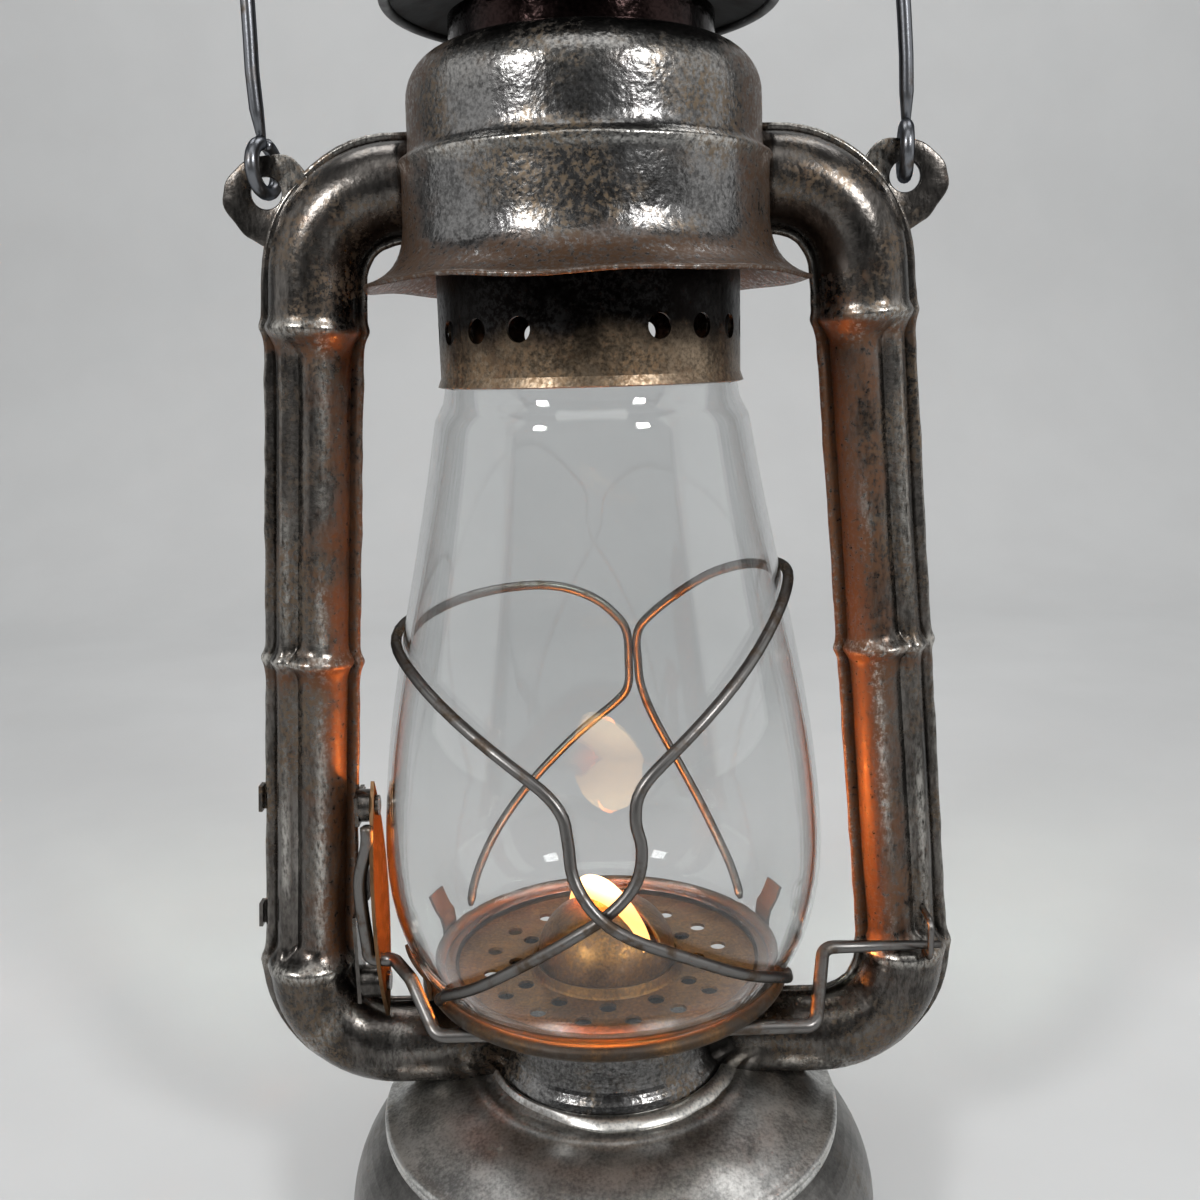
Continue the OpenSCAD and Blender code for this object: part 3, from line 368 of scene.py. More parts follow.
def lofted(rings):
    """Closed skin from ring to ring: each ring is extruded and moved to the next one's points."""
    bm = bmesh.new()
    first = [bm.verts.new(p) for p in rings[0]]
    count = len(first)
    edges = [bm.edges.new((first[i], first[(i + 1) % count])) for i in range(count)]
    bmesh.ops.contextual_create(bm, geom=edges)
    ring = first
    for points in rings[1:]:
        made = bmesh.ops.extrude_edge_only(bm, edges=edges)["geom"]
        lookup = {}
        for v in made:
            if isinstance(v, bmesh.types.BMVert):
                lookup[v.co.to_tuple(4)] = v
        ring = [lookup[v.co.to_tuple(4)] for v in ring]
        for v, p in zip(ring, points):
            v.co = p
        edges = [bm.edges.get((ring[i], ring[(i + 1) % count])) for i in range(count)]
    bmesh.ops.contextual_create(bm, geom=edges)
    bmesh.ops.recalc_face_normals(bm, faces=bm.faces)
    return bm


def frames_along(points):
    """(point, side, up) at each point, carried along without twist."""
    made = []
    side = None
    for i, p in enumerate(points):
        way = (points[min(i + 1, len(points) - 1)] - points[max(i - 1, 0)]).normalized()
        if side is None:
            side = way.orthogonal().normalized()
        side = (side - way * side.dot(way)).normalized()
        made.append((p, side, way.cross(side)))
    return made


def wire(points, radius, sides=12):
    """Round wire along points, with its ends rounded off."""
    points = [Vector(p) for p in points]
    rings = []
    last = len(points) - 1
    for i, (p, side, up) in enumerate(frames_along(points)):
        r = radius * (0.55 if i in (0, last) else 1.0)
        rings.append([p + side * r * math.cos(a) + up * r * math.sin(a)
                      for a in (2 * math.pi * k / sides for k in range(sides))])
    return lofted(rings)


def curve_through(route, steps):
    """Smooth curve through the route's points."""
    route = [Vector(p) for p in route]
    made = []
    for i in range(len(route) - 1):
        a, b, c, d = route[max(i - 1, 0)], route[i], route[i + 1], route[min(i + 2, len(route) - 1)]
        for k in range(steps):
            t = k / steps
            made.append(b + 0.5 * t * ((c - a) + t * (2 * a - 5 * b + 4 * c - d + t * (3 * (b - c) + d - a))))
    return made + [route[-1]]


def bent(route, bend, steps=6):
    """Straight lines through the route with round bends."""
    route = [Vector(p) for p in route]
    made = [route[0]]
    for i in range(1, len(route) - 1):
        a = (route[i - 1] - route[i]).normalized()
        b = (route[i + 1] - route[i]).normalized()
        half = a.angle(b) / 2
        cut = bend / math.tan(half)
        centre = route[i] + (a + b).normalized() * bend / math.sin(half)
        start = route[i] + a * cut - centre
        end = route[i] + b * cut - centre
        for k in range(steps + 1):
            made.append(centre + start.normalized().slerp(end.normalized(), k / steps) * bend)
    return made + [route[-1]]


def joined(*parts):
    """One bmesh from several."""
    whole = bmesh.new()
    for bm in parts:
        mesh = bpy.data.meshes.new("part")
        bm.to_mesh(mesh)
        bm.free()
        whole.from_mesh(mesh)
        bpy.data.meshes.remove(mesh)
    return whole


# Globe

PLATE_Z = 80.0
FLOOR_Z = 80.8
WIDE_Z = PLATE_Z + 34
FOOT_LIFT = 0.7
BELLY_H = WIDE_Z - FLOOR_Z - FOOT_LIFT
GLOBE_TOP = 226.5
FOOT_R, GLOBE_R, MOUTH_R, SHOULDER = 37.5, 52.2, 32.3, 1.5
SHOULDER_LOW_Z, SHOULDER_HIGH_Z = 214.5, 219.5
GLASS_THICK = 1.8


def globe_radius(z):
    if z < WIDE_Z:
        return mix(FOOT_R, GLOBE_R, math.sqrt(max(0.0, 1 - ((WIDE_Z - z) / BELLY_H) ** 2)))
    s = min(1.0, (z - WIDE_Z) / (GLOBE_TOP - WIDE_Z))
    body = mix(GLOBE_R, MOUTH_R + SHOULDER, 0.55 * s ** 1.5 + 0.45 * (1 - math.cos(math.pi * s)) / 2)
    return body - SHOULDER * smooth_step(SHOULDER_LOW_Z, SHOULDER_HIGH_Z, z)


def make_globe():
    low = [(FOOT_R + 0.2, FLOOR_Z + 0.2)]
    for k in range(1, 13):
        z = WIDE_Z - BELLY_H * math.cos(math.radians(k * 7.5))
        low.append((globe_radius(z), z))
    high = [(globe_radius(z), z) for z in (mix(WIDE_Z, GLOBE_TOP, k / 60) for k in range(1, 61))]
    bm = spun(wall(low + high, GLASS_THICK), 144)
    piece("globe_glass", bm, GLASS, "globe_carrier", "clear_glass", ["globe"])


# Guard wires: [degrees from the front, height above the plate, extra distance from the glass]
GUARD_LEFT = [
    (72, 4, 0), (63, 6.5, 0), (49, 13, 0), (34, 19.5, 0), (18, 28, 0.8), (5, 35, 2.7), (-2, 40.5, 2.7),
    (-6.5, 47, 0.8), (-7.7, 54, 0), (-9.5, 60, 0), (-17, 66, 0), (-38, 76, 0), (-60, 83, 0),
    (-84, 86, 0), (-112, 87.5, 0), (-142, 88.8, 0), (-164, 88, 0), (-178, 84, 0), (-186, 78.5, 0),
    (-189.4, 73.5, 0), (-189.6, 65, 0), (-189, 57.5, 0), (-185, 52.5, 0), (-173, 43.5, 0), (-158, 31, 0),
    (-145, 20, 0), (-134, 11, 0), (-124, 4, 0)]
GUARD_RIGHT = [
    (-58, 4, 0), (-47, 11, 0), (-33, 18, 0), (-17.5, 27.5, 0), (-7, 34, 0), (1.5, 39.5, 0),
    (7, 45.5, 0), (8.4, 52, 0), (7.3, 58, 0), (9, 64, 0), (17, 70.5, 0), (36, 82, 0), (56, 92, 0),
    (74, 97.5, 0), (92, 99, 0), (110, 98, 0), (124, 95.8, 0), (138, 92, 0), (151, 86, 0),
    (162, 79, 0), (167, 73.5, 0), (167.4, 65, 0), (166.6, 57, 0), (162, 46, 0), (152, 30, 0),
    (142, 17.5, 0), (132, 9, 0), (124, 4, 0)]
GUARD_WIRE_R = 1.25
RIM_R, RIM_BEAD = 43.0, 1.7


def guard_point(entry):
    degrees, height, extra = entry
    z = PLATE_Z + height
    reach = RIM_BEAD + GUARD_WIRE_R + 0.1
    beside = RIM_R + math.sqrt(max(0.0, reach ** 2 - (z - PLATE_Z - RIM_BEAD) ** 2))
    r = max(globe_radius(z) + GUARD_WIRE_R + 0.3 + extra, beside)
    a = math.radians(degrees)
    return Vector((r * math.sin(a), -r * math.cos(a), z))


def make_guard_wires():
    for name, route in (("guard_wire_left", GUARD_LEFT), ("guard_wire_right", GUARD_RIGHT)):
        line = [guard_point(entry) for entry in curve_through(route, 4)]
        piece(name + "_round", wire(line, GUARD_WIRE_R, 14), DARK_WIRE, "globe_carrier", "wire_steel", [name])


# Side tubes

TUBE_PATH = [Vector((37.5, 265.5)), Vector((59.4, 265.5)), Vector((75.3, 60.5)), Vector((24.5, 60.5))]
TUBE_R = 10.0
BAIL_X, BAIL_Z, EYE_R, BAIL_WIRE_R = 70.0, 270.5, 5.2, 1.55
EAR_HOLE_Z, EAR_HOLE_R, EAR_THICK = BAIL_Z - EYE_R, 3.4, 1.5
BEND_TOP, BEND_LOW = 20.0, 21.0
# Lobes of the leg's section: [centre outwards, half width, half depth]
LOBES = [(-2.4, 6.0, 6.6), (5.3, 3.0, 5.2), (0.0, 7.6, 4.0)]
LEG_EDGE, LEG_FROM_X = 11.2, 50
LEG_LOW_Z, LEG_HIGH_Z = 86, 234
# Crests of the leg with painted highlight streaks in bright tin: [distance outwards, half width, share]
HIGHLIGHT_CRESTS = [(-3.4, 1.2, 0.95), (5.4, 0.8, 0.7), (2.2, 0.6, 0.5)]
RING_TOP_Z, RING_MID_Z, BEAD_H = 236.0, 160.0, 0.75
FLANGE = 1.8


def leg_ends():
    way = (TUBE_PATH[2] - TUBE_PATH[1]).normalized()
    turn = math.acos(way.x)
    start = TUBE_PATH[1] + way * BEND_TOP * math.tan(turn / 2)
    end = TUBE_PATH[2] - way * BEND_LOW * math.tan((math.pi - turn) / 2)
    return way, start, end


LEG_WAY, LEG_START, LEG_END = leg_ends()
RINGS = [RING_TOP_Z, RING_MID_Z, LEG_END.y]


def tube_stations():
    """(place, way) along the right tube, from the hood to the tank, in the plane of X and Z."""
    flat = [Vector((p.x, p.y, 0)) for p in TUBE_PATH]
    top = bent(flat[:3], BEND_TOP, 14)[:-1]
    low = bent(flat[1:], BEND_LOW, 16)[1:]
    leg = []
    z = LEG_START.y - 1.5
    while z > LEG_END.y + 0.6:
        leg.append(flat[1] + Vector((LEG_WAY.x, LEG_WAY.y, 0)) * (flat[1].y - z) / -LEG_WAY.y)
        near = min(abs(z - r) for r in RINGS)
        z -= 0.6 if near < 4 else (1.4 if near < 13 else 4.5)
    points = top + leg + low
    return [(p, (points[min(i + 1, len(points) - 1)] - points[max(i - 1, 0)]).normalized())
            for i, p in enumerate(points)]


def ray_to(lobe, dx, dy):
    """Distance from the leg's middle to the wall of an oval lobe, along a direction."""
    c, w, d = lobe
    square = (dx / w) ** 2 + (dy / d) ** 2
    along = c * dx / w ** 2
    gap = along ** 2 - square * ((c / w) ** 2 - 1)
    return max(0.0, (along + math.sqrt(gap)) / square) if gap > 0 else 0.0


def leg_radius(angle):
    """Distance to the lobed wall at an angle from the outward side, with the grooves eased."""
    dx, dy = math.cos(angle), math.sin(angle)
    return sum(ray_to(lobe, dx, dy) ** 18 for lobe in LOBES) ** (1 / 18)


def tube_shape(p):
    """(share of the lobed section, height of the bead) at a place on the tube."""
    if p.x < LEG_FROM_X:
        return 0.0, 0.0
    bead = BEAD_H * max(math.exp(-((p.y - r) / 1.4) ** 2) for r in RINGS)
    lobed = smooth_step(0.5, 5.5, RING_TOP_Z - p.y) * smooth_step(0.5, 5.5, p.y - LEG_END.y)
    return lobed * (1 - 0.45 * math.exp(-((p.y - RING_MID_Z) / 2.4) ** 2)), bead


def make_tubes():
    around = 80
    for side_name, s in (("left", -1), ("right", 1)):
        rings, outer_seam, inner_seam = [], [], []
        for p, way in tube_stations():
            out = Vector((-way.y, way.x))
            lobed, bead = tube_shape(p)
            wobble = 0.2 * noise.noise(Vector((p.x * 0.05 * s, 3.1, p.y * 0.05)))

            def point(u, v):
                return Vector((s * (p.x + out.x * u), -v, p.y + out.y * u))

            ring = []
            for k in range(around):
                a = 2 * math.pi * k / around
                r = mix(TUBE_R, leg_radius(a), lobed) + bead + wobble
                ring.append(point(r * math.cos(a), r * math.sin(a)))
            rings.append(ring)
            root = mix(TUBE_R - 1, 7.0, lobed)
            ruffle = 0.3 * noise.noise(Vector((p.x * 0.21, s * 7.7, p.y * 0.21)))
            edge = mix(TUBE_R + FLANGE, LEG_EDGE, lobed) + ruffle + 0.8 * bead
            slip = 0.35 * noise.noise(Vector((p.x * 0.12, s * 2.2, p.y * 0.12)))
            for seam, t in ((outer_seam, 1), (inner_seam, -1)):
                seam.append([point(t * u, t * v) for u, v in (
                    (root, 0.6), (edge - 1.5, 0.6 + slip), (edge - 1.0, 0.9 + slip), (edge - 0.3, 0.8 + slip),
                    (edge, 0.3 + slip), (edge, -0.3 + slip), (edge - 0.3, -0.8 + slip),
                    (edge - 1.0, -0.9 + slip), (edge - 1.5, -0.6 + slip), (root, -0.6))])

        def off_axis(co):
            return abs(co.x) - (TUBE_PATH[1].x + (TUBE_PATH[1].y - co.z) * LEG_WAY.x / -LEG_WAY.y)

        places = [p for p, way in tube_stations()]

        def fin(co):
            if co.z < RING_TOP_Z + 3 or abs(co.y) > 1.3:
                return 0.0
            reach = min(math.hypot(p.x - abs(co.x), p.y - co.z) for p in places)
            return smooth_step(TUBE_R + 0.4, TUBE_R + 1.2, reach) * (abs(co.x) < BAIL_X - 3)

        def bright_share(co):
            ring = max(math.exp(-((co.z - r - 0.4) / 1.6) ** 2) for r in RINGS) * (abs(co.x) > LEG_FROM_X)
            u = off_axis(co)
            edge = smooth_step(10.2, 11.0, abs(u))
            crest = sum(share * math.exp(-((u - centre) / width) ** 2) for centre, width, share in HIGHLIGHT_CRESTS)
            broken = smooth_step(-0.25, 0.35, noise.noise(Vector((co.x * 0.1, s * 5.5, co.z * 0.045))))
            on_leg = LEG_LOW_Z < co.z < LEG_HIGH_Z
            patch = smooth_step(0.05, 0.45, noise.noise(co * 0.085 + Vector((s, 0, 0))))
            low_bend = patch * smooth_step(80, 76, co.z)
            # Bright tin: worn on the rings, the ear fin, the low bend and the flange edges; painted highlight
            # streaks along the crests of the leg, broken up along their length.
            return 0.65 * ring + 0.6 * fin(co) + 0.55 * low_bend + (0.3 * edge + crest * broken) * on_leg

        def browned(co):
            # The brown of the inner flank, deeper down the leg, is partly rust and partly painted orange glow
            # from the flame.
            inner = smooth_step(-2.0, -9.0, off_axis(co)) * smooth_step(80, 90, co.z) * (co.z < 240)
            below = max(math.exp(-((co.z - r + 3.5) / 3.0) ** 2) for r in RINGS[:2])
            below *= abs(co.x) > LEG_FROM_X
            painted_glow = smooth_step(200, 150, co.z)
            face = smooth_step(3.0, -1.0, off_axis(co)) * (LEG_LOW_Z < co.z < LEG_HIGH_Z)
            heated = 0.3 if s > 0 else 0.16
            return mix(0.2, 0.42, painted_glow) * inner + 0.35 * below + heated * face

        bm = joined(lofted(rings), lofted(outer_seam), lofted(inner_seam), make_ear(s))
        piece(side_name + "_tube", bm, TUBE_TIN, "frame", "tinplate",
              [side_name + "_tube_front", side_name + "_tube_back"], worn=bright_share, browned=browned)


# Reach of the ear's edge from its hole: [degrees up from the outward side, distance]
EAR_EDGE = [(-180, 10.0), (-135, 11.5), (-97, 12.0), (-65, 10.4), (-38, 9.5), (-14, 9.9), (8, 9.2),
            (45, 8.0), (90, 7.8), (135, 9.6), (180, 10.0)]


def ear_reach(angle):
    degrees = math.degrees(angle)
    for (a, near), (b, far) in zip(EAR_EDGE, EAR_EDGE[1:]):
        if degrees <= b:
            return mix(near, far, smooth_step(a, b, degrees))
    return EAR_EDGE[-1][1]


def make_ear(s):
    """Pressed ear with its hole, made from a ring that is widened into the ear's outline."""
    bm = bmesh.new()
    inner = bmesh.ops.create_circle(bm, segments=64, radius=EAR_HOLE_R)["verts"]
    edges = list({e for v in inner for e in v.link_edges})
    made = bmesh.ops.extrude_edge_only(bm, edges=edges)["geom"]
    for v in made:
        if isinstance(v, bmesh.types.BMVert):
            a = math.atan2(v.co.y, v.co.x)
            reach = ear_reach(math.atan2(v.co.y, s * v.co.x))
            v.co.x, v.co.y = reach * math.cos(a), reach * math.sin(a)
    bmesh.ops.recalc_face_normals(bm, faces=bm.faces)
    bmesh.ops.solidify(bm, geom=bm.faces[:], thickness=EAR_THICK)
    bmesh.ops.bevel(bm, geom=[e for e in bm.edges if e.calc_face_angle(0) > 1], offset=0.35, segments=2,
                    profile=0.5, affect="EDGES", material=-1)
    bmesh.ops.rotate(bm, verts=bm.verts, cent=(0, 0, 0), matrix=Matrix.Rotation(math.pi / 2, 3, "X"))
    bmesh.ops.translate(bm, verts=bm.verts, vec=(s * BAIL_X, EAR_THICK / 2, EAR_HOLE_Z))
    bmesh.ops.recalc_face_normals(bm, faces=bm.faces)
    return bm


# Dome of the tank: folded seam, soft fold and the run of solder at the collar

SEAM_R, FOLD_R, SOLDER_R, TANK_MOUTH = 55.7, 35.0, 32.4, 13.0
DOME_EDGE, FOLD_Z, DOME_BOW, TANK_SHEET = Vector((54.7, 46.0)), 53.6, 0.7, 0.7
FILLER_AT, FILLER_TILT, FILLER_R = Vector((0, 43, 51.4)), math.radians(22.1), 9.3


def make_tank_dome():
    seam = [(SEAM_R + 0.1, 42.0), (SEAM_R + 0.9, 42.4), (SEAM_R + 1.1, 43.1), (SEAM_R + 0.8, 43.7),
            (SEAM_R + 0.6, 43.95), (SEAM_R + 0.8, 44.2), (SEAM_R + 1.1, 44.8), (SEAM_R + 0.8, 45.5),
            (SEAM_R + 0.1, 45.9)]
    bow = []
    for k in range(15):
        t = k / 14
        bow.append((mix(DOME_EDGE.x, FOLD_R + 0.6, t),
                    mix(DOME_EDGE.y, FOLD_Z, t) + 4 * DOME_BOW * t * (1 - t)))
    fold = [(FOLD_R - 0.2, 54.1), (FOLD_R - 0.9, 54.6), (FOLD_R - 1.8, 54.9), (FOLD_R - 2.8, 55.0),
            (31.4, 55.1), (30.6, 55.4), (29.9, 55.8), (29.0, 56.0), (27.0, 56.0), (22.0, 56.0),
            (TANK_MOUTH, 56.0)]
    sheet = spun(wall(seam + bow + fold, TANK_SHEET), 144)
    axis = Vector((0, math.sin(FILLER_TILT), math.cos(FILLER_TILT)))

    def in_filler(face):
        reach = face.calc_center_median() - FILLER_AT
        return (reach - axis * reach.dot(axis)).length < FILLER_R

    bmesh.ops.delete(sheet, geom=[f for f in sheet.faces if in_filler(f)], context="FACES")
    bmesh.ops.bridge_loops(sheet, edges=[e for e in sheet.edges if e.is_boundary])
    bmesh.ops.recalc_face_normals(sheet, faces=sheet.faces)

    def turned(co):
        return math.degrees(math.atan2(co.x, -co.y))

    def run_of_solder(co):
        return smooth_step(-35, 5, turned(co)) * smooth_step(115, 90, turned(co))

    def soldered(co):
        return run_of_solder(co) * smooth_step(32.6, 31.8, co.xy.length) * (co.z > 54.8)

    solder = spun([(SOLDER_R, 54.7), (SOLDER_R - 0.5, 55.5), (SOLDER_R - 1.3, 56.3), (SOLDER_R - 2.1, 56.9),
                   (SOLDER_R - 2.9, 57.3), (SOLDER_R - 3.5, 57.2), (SOLDER_R - 3.6, 55.5)], 144)
    for v in solder.verts:
        reach = v.co.xy.length
        full = run_of_solder(v.co) * (1 + 0.25 * noise.noise(v.co * 0.16))
        if reach > SOLDER_R - 3.0:
            near = mix(mix(SOLDER_R - 3.0, reach, 0.3), reach, full) / reach
            v.co.x *= near
            v.co.y *= near

    def bright_share(co):
        r = co.xy.length
        broken = smooth_step(-0.2, 0.3, noise.noise(co * 0.11))
        right = smooth_step(2, 28, turned(co)) * smooth_step(80, 60, turned(co))
        crest = right * math.exp(-((r - 33.6) / 1.4) ** 2)
        seam_edge = smooth_step(SEAM_R - 0.6, SEAM_R + 0.4, r)
        return 0.95 * soldered(co) + broken * (0.8 * crest + 0.4 * seam_edge)

    def browned(co):
        return 0.45 * smooth_step(36, 31, co.xy.length) * (1 - soldered(co))

    piece("tank_dome", joined(sheet, solder), TINPLATE, "frame", "tinplate", ["tank_top"],
          worn=bright_share, browned=browned)


# Hood

HOOD_RIM_R, HOOD_RIM_Z, HOOD_R, HOOD_TOP = 50.0, 244.0, 40.2, 292.0
NECK_R, HOOD_ROUND, HOOD_SHEET = 28.5, 10, 0.8


def make_hood():
    flare = []
    for k in range(11):
        t = k / 10
        r = mix(HOOD_RIM_R - 0.5, HOOD_R, t)
        z = mix(HOOD_RIM_Z + 0.4, HOOD_RIM_Z + 12, t)
        bow = 4 * 2.7 * t * (1 - t)
        flare.append((r - bow * 0.74, z - bow * 0.62))
    wall_path = [(HOOD_R - 0.1, 257), (HOOD_R, 260), (HOOD_R, 263), (HOOD_R, 266), (HOOD_R + 0.1, 268),
                 (HOOD_R + 0.6, 269), (HOOD_R + 0.3, 269.8), (HOOD_R - 1.0, 270.6), (HOOD_R - 1.6, 271.6),
                 (HOOD_R - 1.8, 274), (HOOD_R - 1.8, 278)]
    upper = HOOD_R - 1.9
    shoulder = [(upper + HOOD_ROUND * (math.cos(a) - 1), HOOD_TOP + HOOD_ROUND * (math.sin(a) - 1))
                for a in (math.radians(d) for d in range(0, 86, 8))]
    path = flare + wall_path + shoulder + [(NECK_R + 0.3, HOOD_TOP + 0.05)]
    bm = spun(wall(path, HOOD_SHEET), 160)
    for v in bm.verts:
        low = smooth_step(258, 245, v.co.z)
        a = math.atan2(v.co.y, v.co.x)
        v.co.z += low * (0.35 * math.sin(5 * a + 0.7) + 0.25 * math.sin(9 * a + 2.0))
        dent = 0.3 * noise.noise(v.co * 0.045 + Vector((4.0, 1.0, 2.0)))
        v.co.x += dent * math.cos(a)
        v.co.y += dent * math.sin(a)

    def bright_share(co):
        ridge = math.exp(-((co.z - 269) / 1.3) ** 2)
        top = math.exp(-((co.z - 286) / 5) ** 2)
        rim = smooth_step(246.2, 244.4, co.z)
        return 0.6 * ridge + 0.25 * top + 0.25 * rim

    def browned(co):
        side = smooth_step(0.62, 0.95, abs(co.x) / math.hypot(co.x, co.y))
        foot = smooth_step(254, 247, co.z)
        inside = smooth_step(HOOD_R - 0.3, HOOD_R - 0.6, math.hypot(co.x, co.y)) * (co.z < 268)
        return 0.5 * side + 0.6 * foot + 0.7 * inside

    piece("hood_bell", bm, HOOD_TIN, "frame", "rusted_tinplate", ["hood_shell"],
          worn=bright_share, browned=browned)


# Bail, with each eye turned a little so that it shows as a loop

def make_bail():
    leg_h, lean = 60, -0.045
    foot_z = BAIL_Z + EYE_R
    spring_z = foot_z + leg_h
    parts = []
    line = []
    for k in range(9):
        z = mix(foot_z - 0.6, spring_z, k / 8)
        line.append((-BAIL_X + lean * (z - foot_z) - 0.5 * math.sin(k * 1.1), 0, z))
    top_shift = lean * leg_h
    for k in range(1, 48):
        a = math.pi - math.pi * k / 48
        line.append((BAIL_X * math.cos(a) + top_shift, 0, spring_z + BAIL_X * math.sin(a)))
    for k in range(8, -1, -1):
        z = mix(foot_z - 0.6, spring_z, k / 8)
        line.append((BAIL_X + lean * (z - foot_z) + 0.4 * math.sin(k * 0.9), 0, z))
    parts.append(wire(line, BAIL_WIRE_R, 14))
    for s, turn in ((-1, math.radians(16)), (1, math.radians(9))):
        loop = []
        for k in range(41):
            a = math.radians(90 + 352 * k / 40)
            reach = EYE_R * math.cos(a)
            loop.append((s * BAIL_X + reach * math.sin(turn), reach * math.cos(turn),
                         BAIL_Z + EYE_R * math.sin(a)))
        parts.append(wire(loop, BAIL_WIRE_R, 14))
    piece("bail_wire", joined(*parts), WIRE, "bail", "wire_steel", ["bail"])


# Lift wire, with its handle bent to the thumb

JOURNAL_Y, JOURNAL_Z, CRANK_R = -10.5, 88.0, 1.6


def make_lift_wire():
    handle_x, top_z = -57.0, JOURNAL_Z + 34
    throw_z = PLATE_Z - 0.2 - CRANK_R
    handle = curve_through([
        (handle_x + 1.6, JOURNAL_Y, top_z), (handle_x + 1.3, JOURNAL_Y, top_z - 5),
        (handle_x - 0.8, JOURNAL_Y, top_z - 13), (handle_x - 0.9, JOURNAL_Y, top_z - 20),
        (handle_x - 0.1, JOURNAL_Y, JOURNAL_Z + 4)], 6)
    arm = bent([handle[-1], (handle_x, JOURNAL_Y, JOURNAL_Z), (-50.5, JOURNAL_Y, JOURNAL_Z)], 2, 8)[1:-1]
    web = bent([arm[-1], (-51, JOURNAL_Y, JOURNAL_Z), (-45.6, -19.5, JOURNAL_Z - 0.4), (-39, -28.5, throw_z),
                (47, -28.5, throw_z), (52, JOURNAL_Y, JOURNAL_Z), (80, JOURNAL_Y, JOURNAL_Z)], 3.2, 8)[1:]
    bm = wire(handle + arm + web, CRANK_R, 14)
    piece("lift_wire", bm, DARK_WIRE, "lift_crank", "wire_steel", ["crank_wire"])


# Burner cone, slotted along the wick, and the flame in its slot

WICK_TURN = math.radians(-45)
CONE_R, CONE_BASE, CONE_TOP = 17.0, 82.0, 98.0
SLOT_HALF, SLOT_REACH, CONE_SHEET = 3.0, 15.4, 0.7


def dome_height(t):
    """Height of the cone at a distance t from its middle."""
    return mix(CONE_BASE + 1.5, CONE_TOP, math.sqrt(max(0.0, 1 - (t / CONE_R) ** 2)))


def along_wick(t, y, z):
    return Vector((t * math.cos(WICK_TURN) - y * math.sin(WICK_TURN),
                   t * math.sin(WICK_TURN) + y * math.cos(WICK_TURN), z))


def make_cone():
    bm = bmesh.new()
    line = [(CONE_R + 0.5, CONE_BASE - 1.6), (CONE_R, CONE_BASE + 0.4)] + [
        (CONE_R * math.sin(math.radians(a)), dome_height(CONE_R * math.sin(math.radians(a))))
        for a in range(88, 3, -7)] + [(0.0, CONE_TOP)]
    verts = [bm.verts.new((r, 0, z)) for r, z in line]
    edges = [bm.edges.new(pair) for pair in zip(verts, verts[1:])]
    bmesh.ops.spin(bm, geom=verts + edges, cent=(0, 0, 0), axis=(0, 0, 1), dvec=(0, 0, 0),
                   angle=2 * math.pi, steps=96, use_merge=True, use_duplicate=False)
    bmesh.ops.remove_doubles(bm, verts=bm.verts, dist=0.01)
    side = along_wick(0, 1, 0)
    for s in (-1, 1):
        bmesh.ops.bisect_plane(bm, geom=bm.verts[:] + bm.edges[:] + bm.faces[:], dist=0.001,
                               plane_co=side * s * SLOT_HALF, plane_no=side)
    gone = [f for f in bm.faces if abs(f.calc_center_median().dot(side)) < SLOT_HALF
            and f.calc_center_median().z > dome_height(SLOT_REACH)]
    bmesh.ops.delete(bm, geom=gone, context="FACES")
    bmesh.ops.recalc_face_normals(bm, faces=bm.faces)
    bmesh.ops.solidify(bm, geom=bm.faces[:], thickness=CONE_SHEET)
    bmesh.ops.recalc_face_normals(bm, faces=bm.faces)
    piece("slotted_cone", bm, GALLERY_TIN, "frame", "oxidised_brass", ["burner_cone"])


def make_flame():
    count, around = 23, 16
    near_end, far_end, middle, half, sunk = -12.5, 15.0, 1.25, 13.9, 6.5
    rings = []
    for k in range(count):
        t = mix(near_end, far_end, k / (count - 1))
        ends = math.sqrt(max(0.02, 1 - ((t - middle) / half) ** 2))
        tall = ends * (4.4 - 0.2 * t)
        thick = 0.3 + 2.1 * ends
        foot = dome_height(t) - sunk
        rings.append([along_wick(t, thick * math.cos(a),
                                 foot + (tall + sunk) * (0.5 + 0.5 * math.sin(a)))
                      for a in (2 * math.pi * j / around for j in range(around))])
    piece("flame", lofted(rings), FLAME, "wick", "cotton_wick").visible_shadow = False


make_globe()
make_guard_wires()
make_tubes()
make_tank_dome()
make_hood()
make_bail()
make_lift_wire()
make_cone()
make_flame()

CAD_FINISH = {
    "tank_bowl": BOWL_TIN, "filler_neck": BRASS, "air_collar": HOOD_TIN,
    "burner_body": SOOT_TIN, "wick_tube": BRASS, "chamber_floor": SOOT_TIN,
    "intake_collar": BLACK_STEEL, "upper_strap": TUBE_TIN, "lower_strap": TUBE_TIN, "guide_plate": COPPER,
    "crank_staple": DARK_WIRE, "gallery_plate": GALLERY_TIN, "globe_clips": GALLERY_TIN,
    "thumb_tab": TINPLATE, "chimney_ring": RING_TIN, "chimney_tube": SOOT_TIN,
    "canopy": BURNT_ENAMEL, "cap_dome": BURNT_ENAMEL, "cap_loop": DARK_WIRE, "wick": COTTON,
    "wick_shaft": WIRE, "wick_sprockets": BRASS, "wick_knob": BRASS, "filler_cap": BRASS, "cap_gasket": CORK,
}
for node_name, finish in CAD_FINISH.items():
    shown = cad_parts[node_name].data
    shown.materials.clear()
    shown.materials.append(finish)


# Stage, light and camera

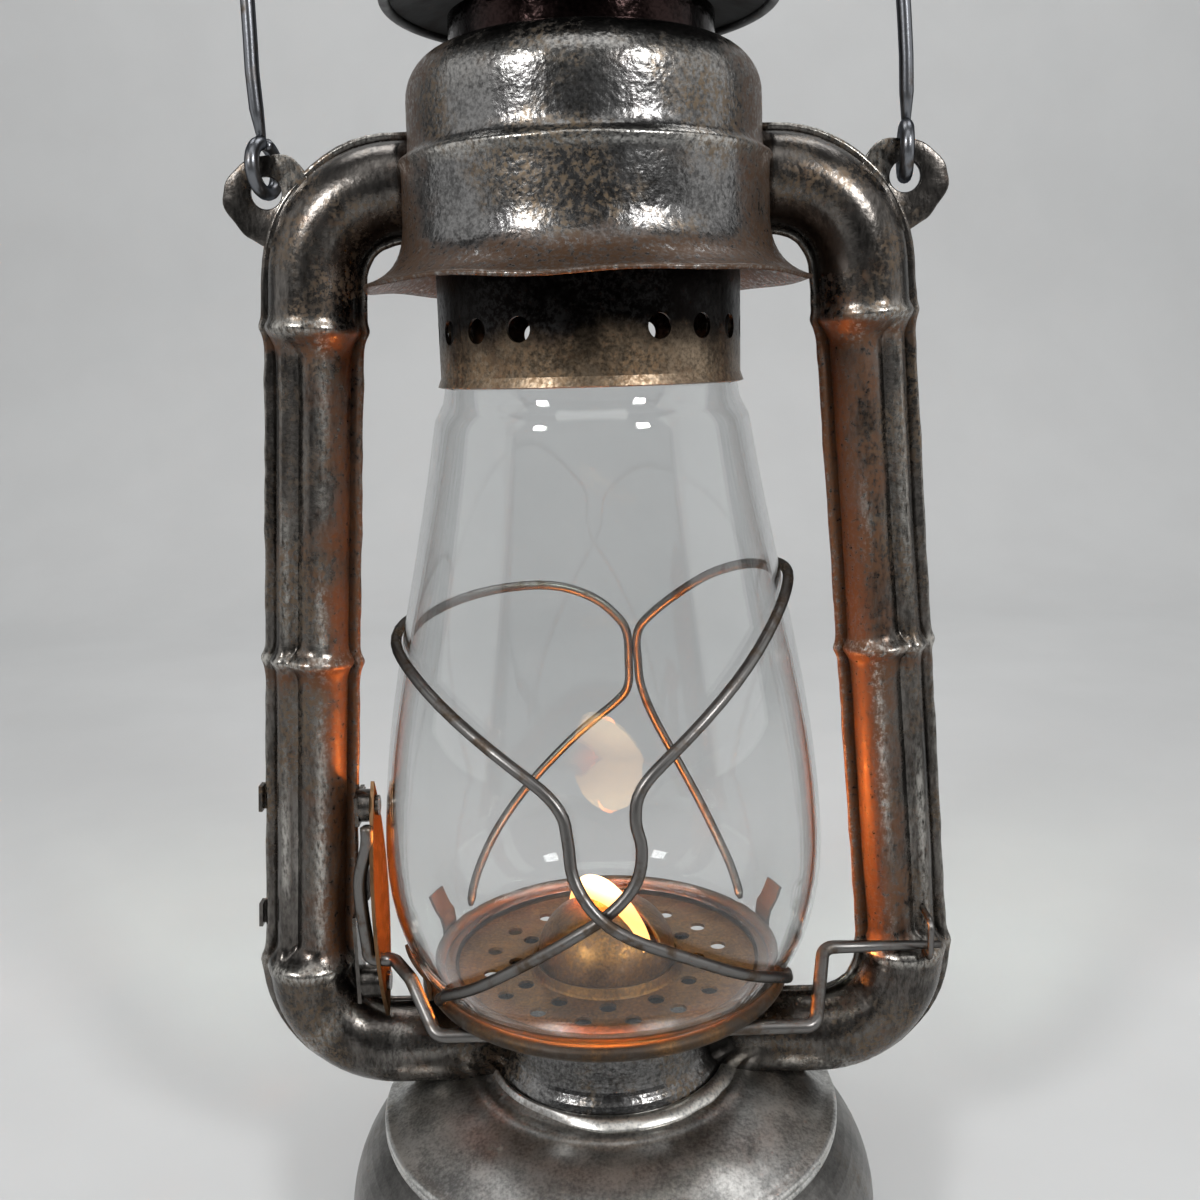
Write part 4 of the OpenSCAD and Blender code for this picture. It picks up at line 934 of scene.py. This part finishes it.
def make_stage():
    """Pale paper sweep: matt, with a faint mottle."""
    made, tree = new_material("matt_pale_backdrop")
    place = add(tree, "TexCoord", out="Object")
    mottle = add(tree, "TexNoise", {
        "Vector": place, "Scale": per_metre(90), "Detail": 3, "Roughness": 0.55}, "Fac")
    tone = add(tree, "MapRange", {"Value": mottle, "From Min": 0.3, "From Max": 0.7}, **SMOOTH)
    colour = add(tree, "Mix", {"Factor": tone, 6: linear("#c2c3c3"), 7: linear("#c5c6c6")}, 2, **RGBA)
    skin = add(tree, "BsdfPrincipled", {"Base Color": colour, "Roughness": 0.95})
    add(tree, "OutputMaterial", {"Surface": skin})
    bm = bmesh.new()
    near_y, wall_y, curve_r, wall_h = -2.2, 1.1, 0.35, 2.2
    curve = [(wall_y - curve_r + curve_r * math.sin(a), curve_r - curve_r * math.cos(a))
             for a in (math.radians(d) for d in range(0, 91, 10))]
    line = [(near_y, 0)] + curve + [(wall_y, wall_h)]
    verts = [bm.verts.new((-3, y, z)) for y, z in line]
    edges = [bm.edges.new(pair) for pair in zip(verts, verts[1:])]
    moved = bmesh.ops.extrude_edge_only(bm, edges=edges)["geom"]
    bmesh.ops.translate(bm, verts=[v for v in moved if isinstance(v, bmesh.types.BMVert)], vec=(6, 0, 0))
    bmesh.ops.recalc_face_normals(bm, faces=bm.faces)
    sweep = smooth_object("sweep", bm, made)


def lamp(name, place, aim, size, power, colour="#ffffff"):
    light = bpy.data.lights.new(name, "AREA")
    light.shape = "RECTANGLE"
    light.size, light.size_y = size
    light.energy = power
    light.color = linear(colour)[:3]
    obj = bpy.data.objects.new(name, light)
    obj.location = place
    obj.rotation_euler = (Vector(aim) - Vector(place)).to_track_quat("-Z", "Y").to_euler()
    bpy.context.scene.collection.objects.link(obj)


def make_light():
    lamp("left_lamp", (-0.70, -0.86, 0.80), (0, 0, 0.2), (0.18, 0.2), 7)
    lamp("right_lamp", (0.68, -0.86, 0.80), (0, 0, 0.2), (0.18, 0.2), 7)
    lamp("left_panel", (-1.35, -0.25, 0.6), (0, 0, 0.2), (1.1, 1.3), 3.6)
    lamp("right_panel", (1.35, -0.25, 0.6), (0, 0, 0.2), (1.1, 1.3), 4.2)
    lamp("left_sky", (-0.36, 0.42, 1.6), (0, 0.3, 0), (0.55, 0.7), 5.5)
    lamp("right_sky", (0.56, 0.42, 1.6), (0, 0.3, 0), (0.55, 0.7), 5.5)
    lamp("front_sky", (0, -0.8, 1.5), (0, 0, 0.1), (1.2, 0.7), 4)
    glow = bpy.data.lights.new("flame_glow", "POINT")
    glow.energy = 0.22
    glow.color = linear("#ff8c3c")[:3]
    glow.shadow_soft_size = 0.0025
    lit = bpy.data.objects.new("flame_glow", glow)
    lit.location = (-0.0015, 0.0015, 0.1005)
    lit.visible_camera = False
    lit.visible_transmission = False
    bpy.context.scene.collection.objects.link(lit)
    world = bpy.data.worlds.new("studio")
    world.use_nodes = True
    tree = world.node_tree
    tree.nodes.clear()
    sky = add(tree, "Background", {"Color": linear("#c6c8ca"), "Strength": 0.2})
    add(tree, "OutputWorld", {"Surface": sky})
    bpy.context.scene.world = world


def make_camera():
    lens = bpy.data.cameras.new("camera")
    lens.lens, lens.sensor_width, lens.clip_start = 36, 36, 0.01
    obj = bpy.data.objects.new("camera", lens)
    place = Matrix.Translation((0.0007, -0.276, 0.228))
    tilt = Matrix.Rotation(math.radians(78.6), 4, "X")
    roll = Matrix.Rotation(math.radians(-1.55), 4, "Z")
    obj.matrix_world = place @ tilt @ roll
    bpy.context.scene.collection.objects.link(obj)
    bpy.context.scene.camera = obj


make_stage()
make_light()
make_camera()
bpy.context.scene.view_settings.view_transform = "Standard"
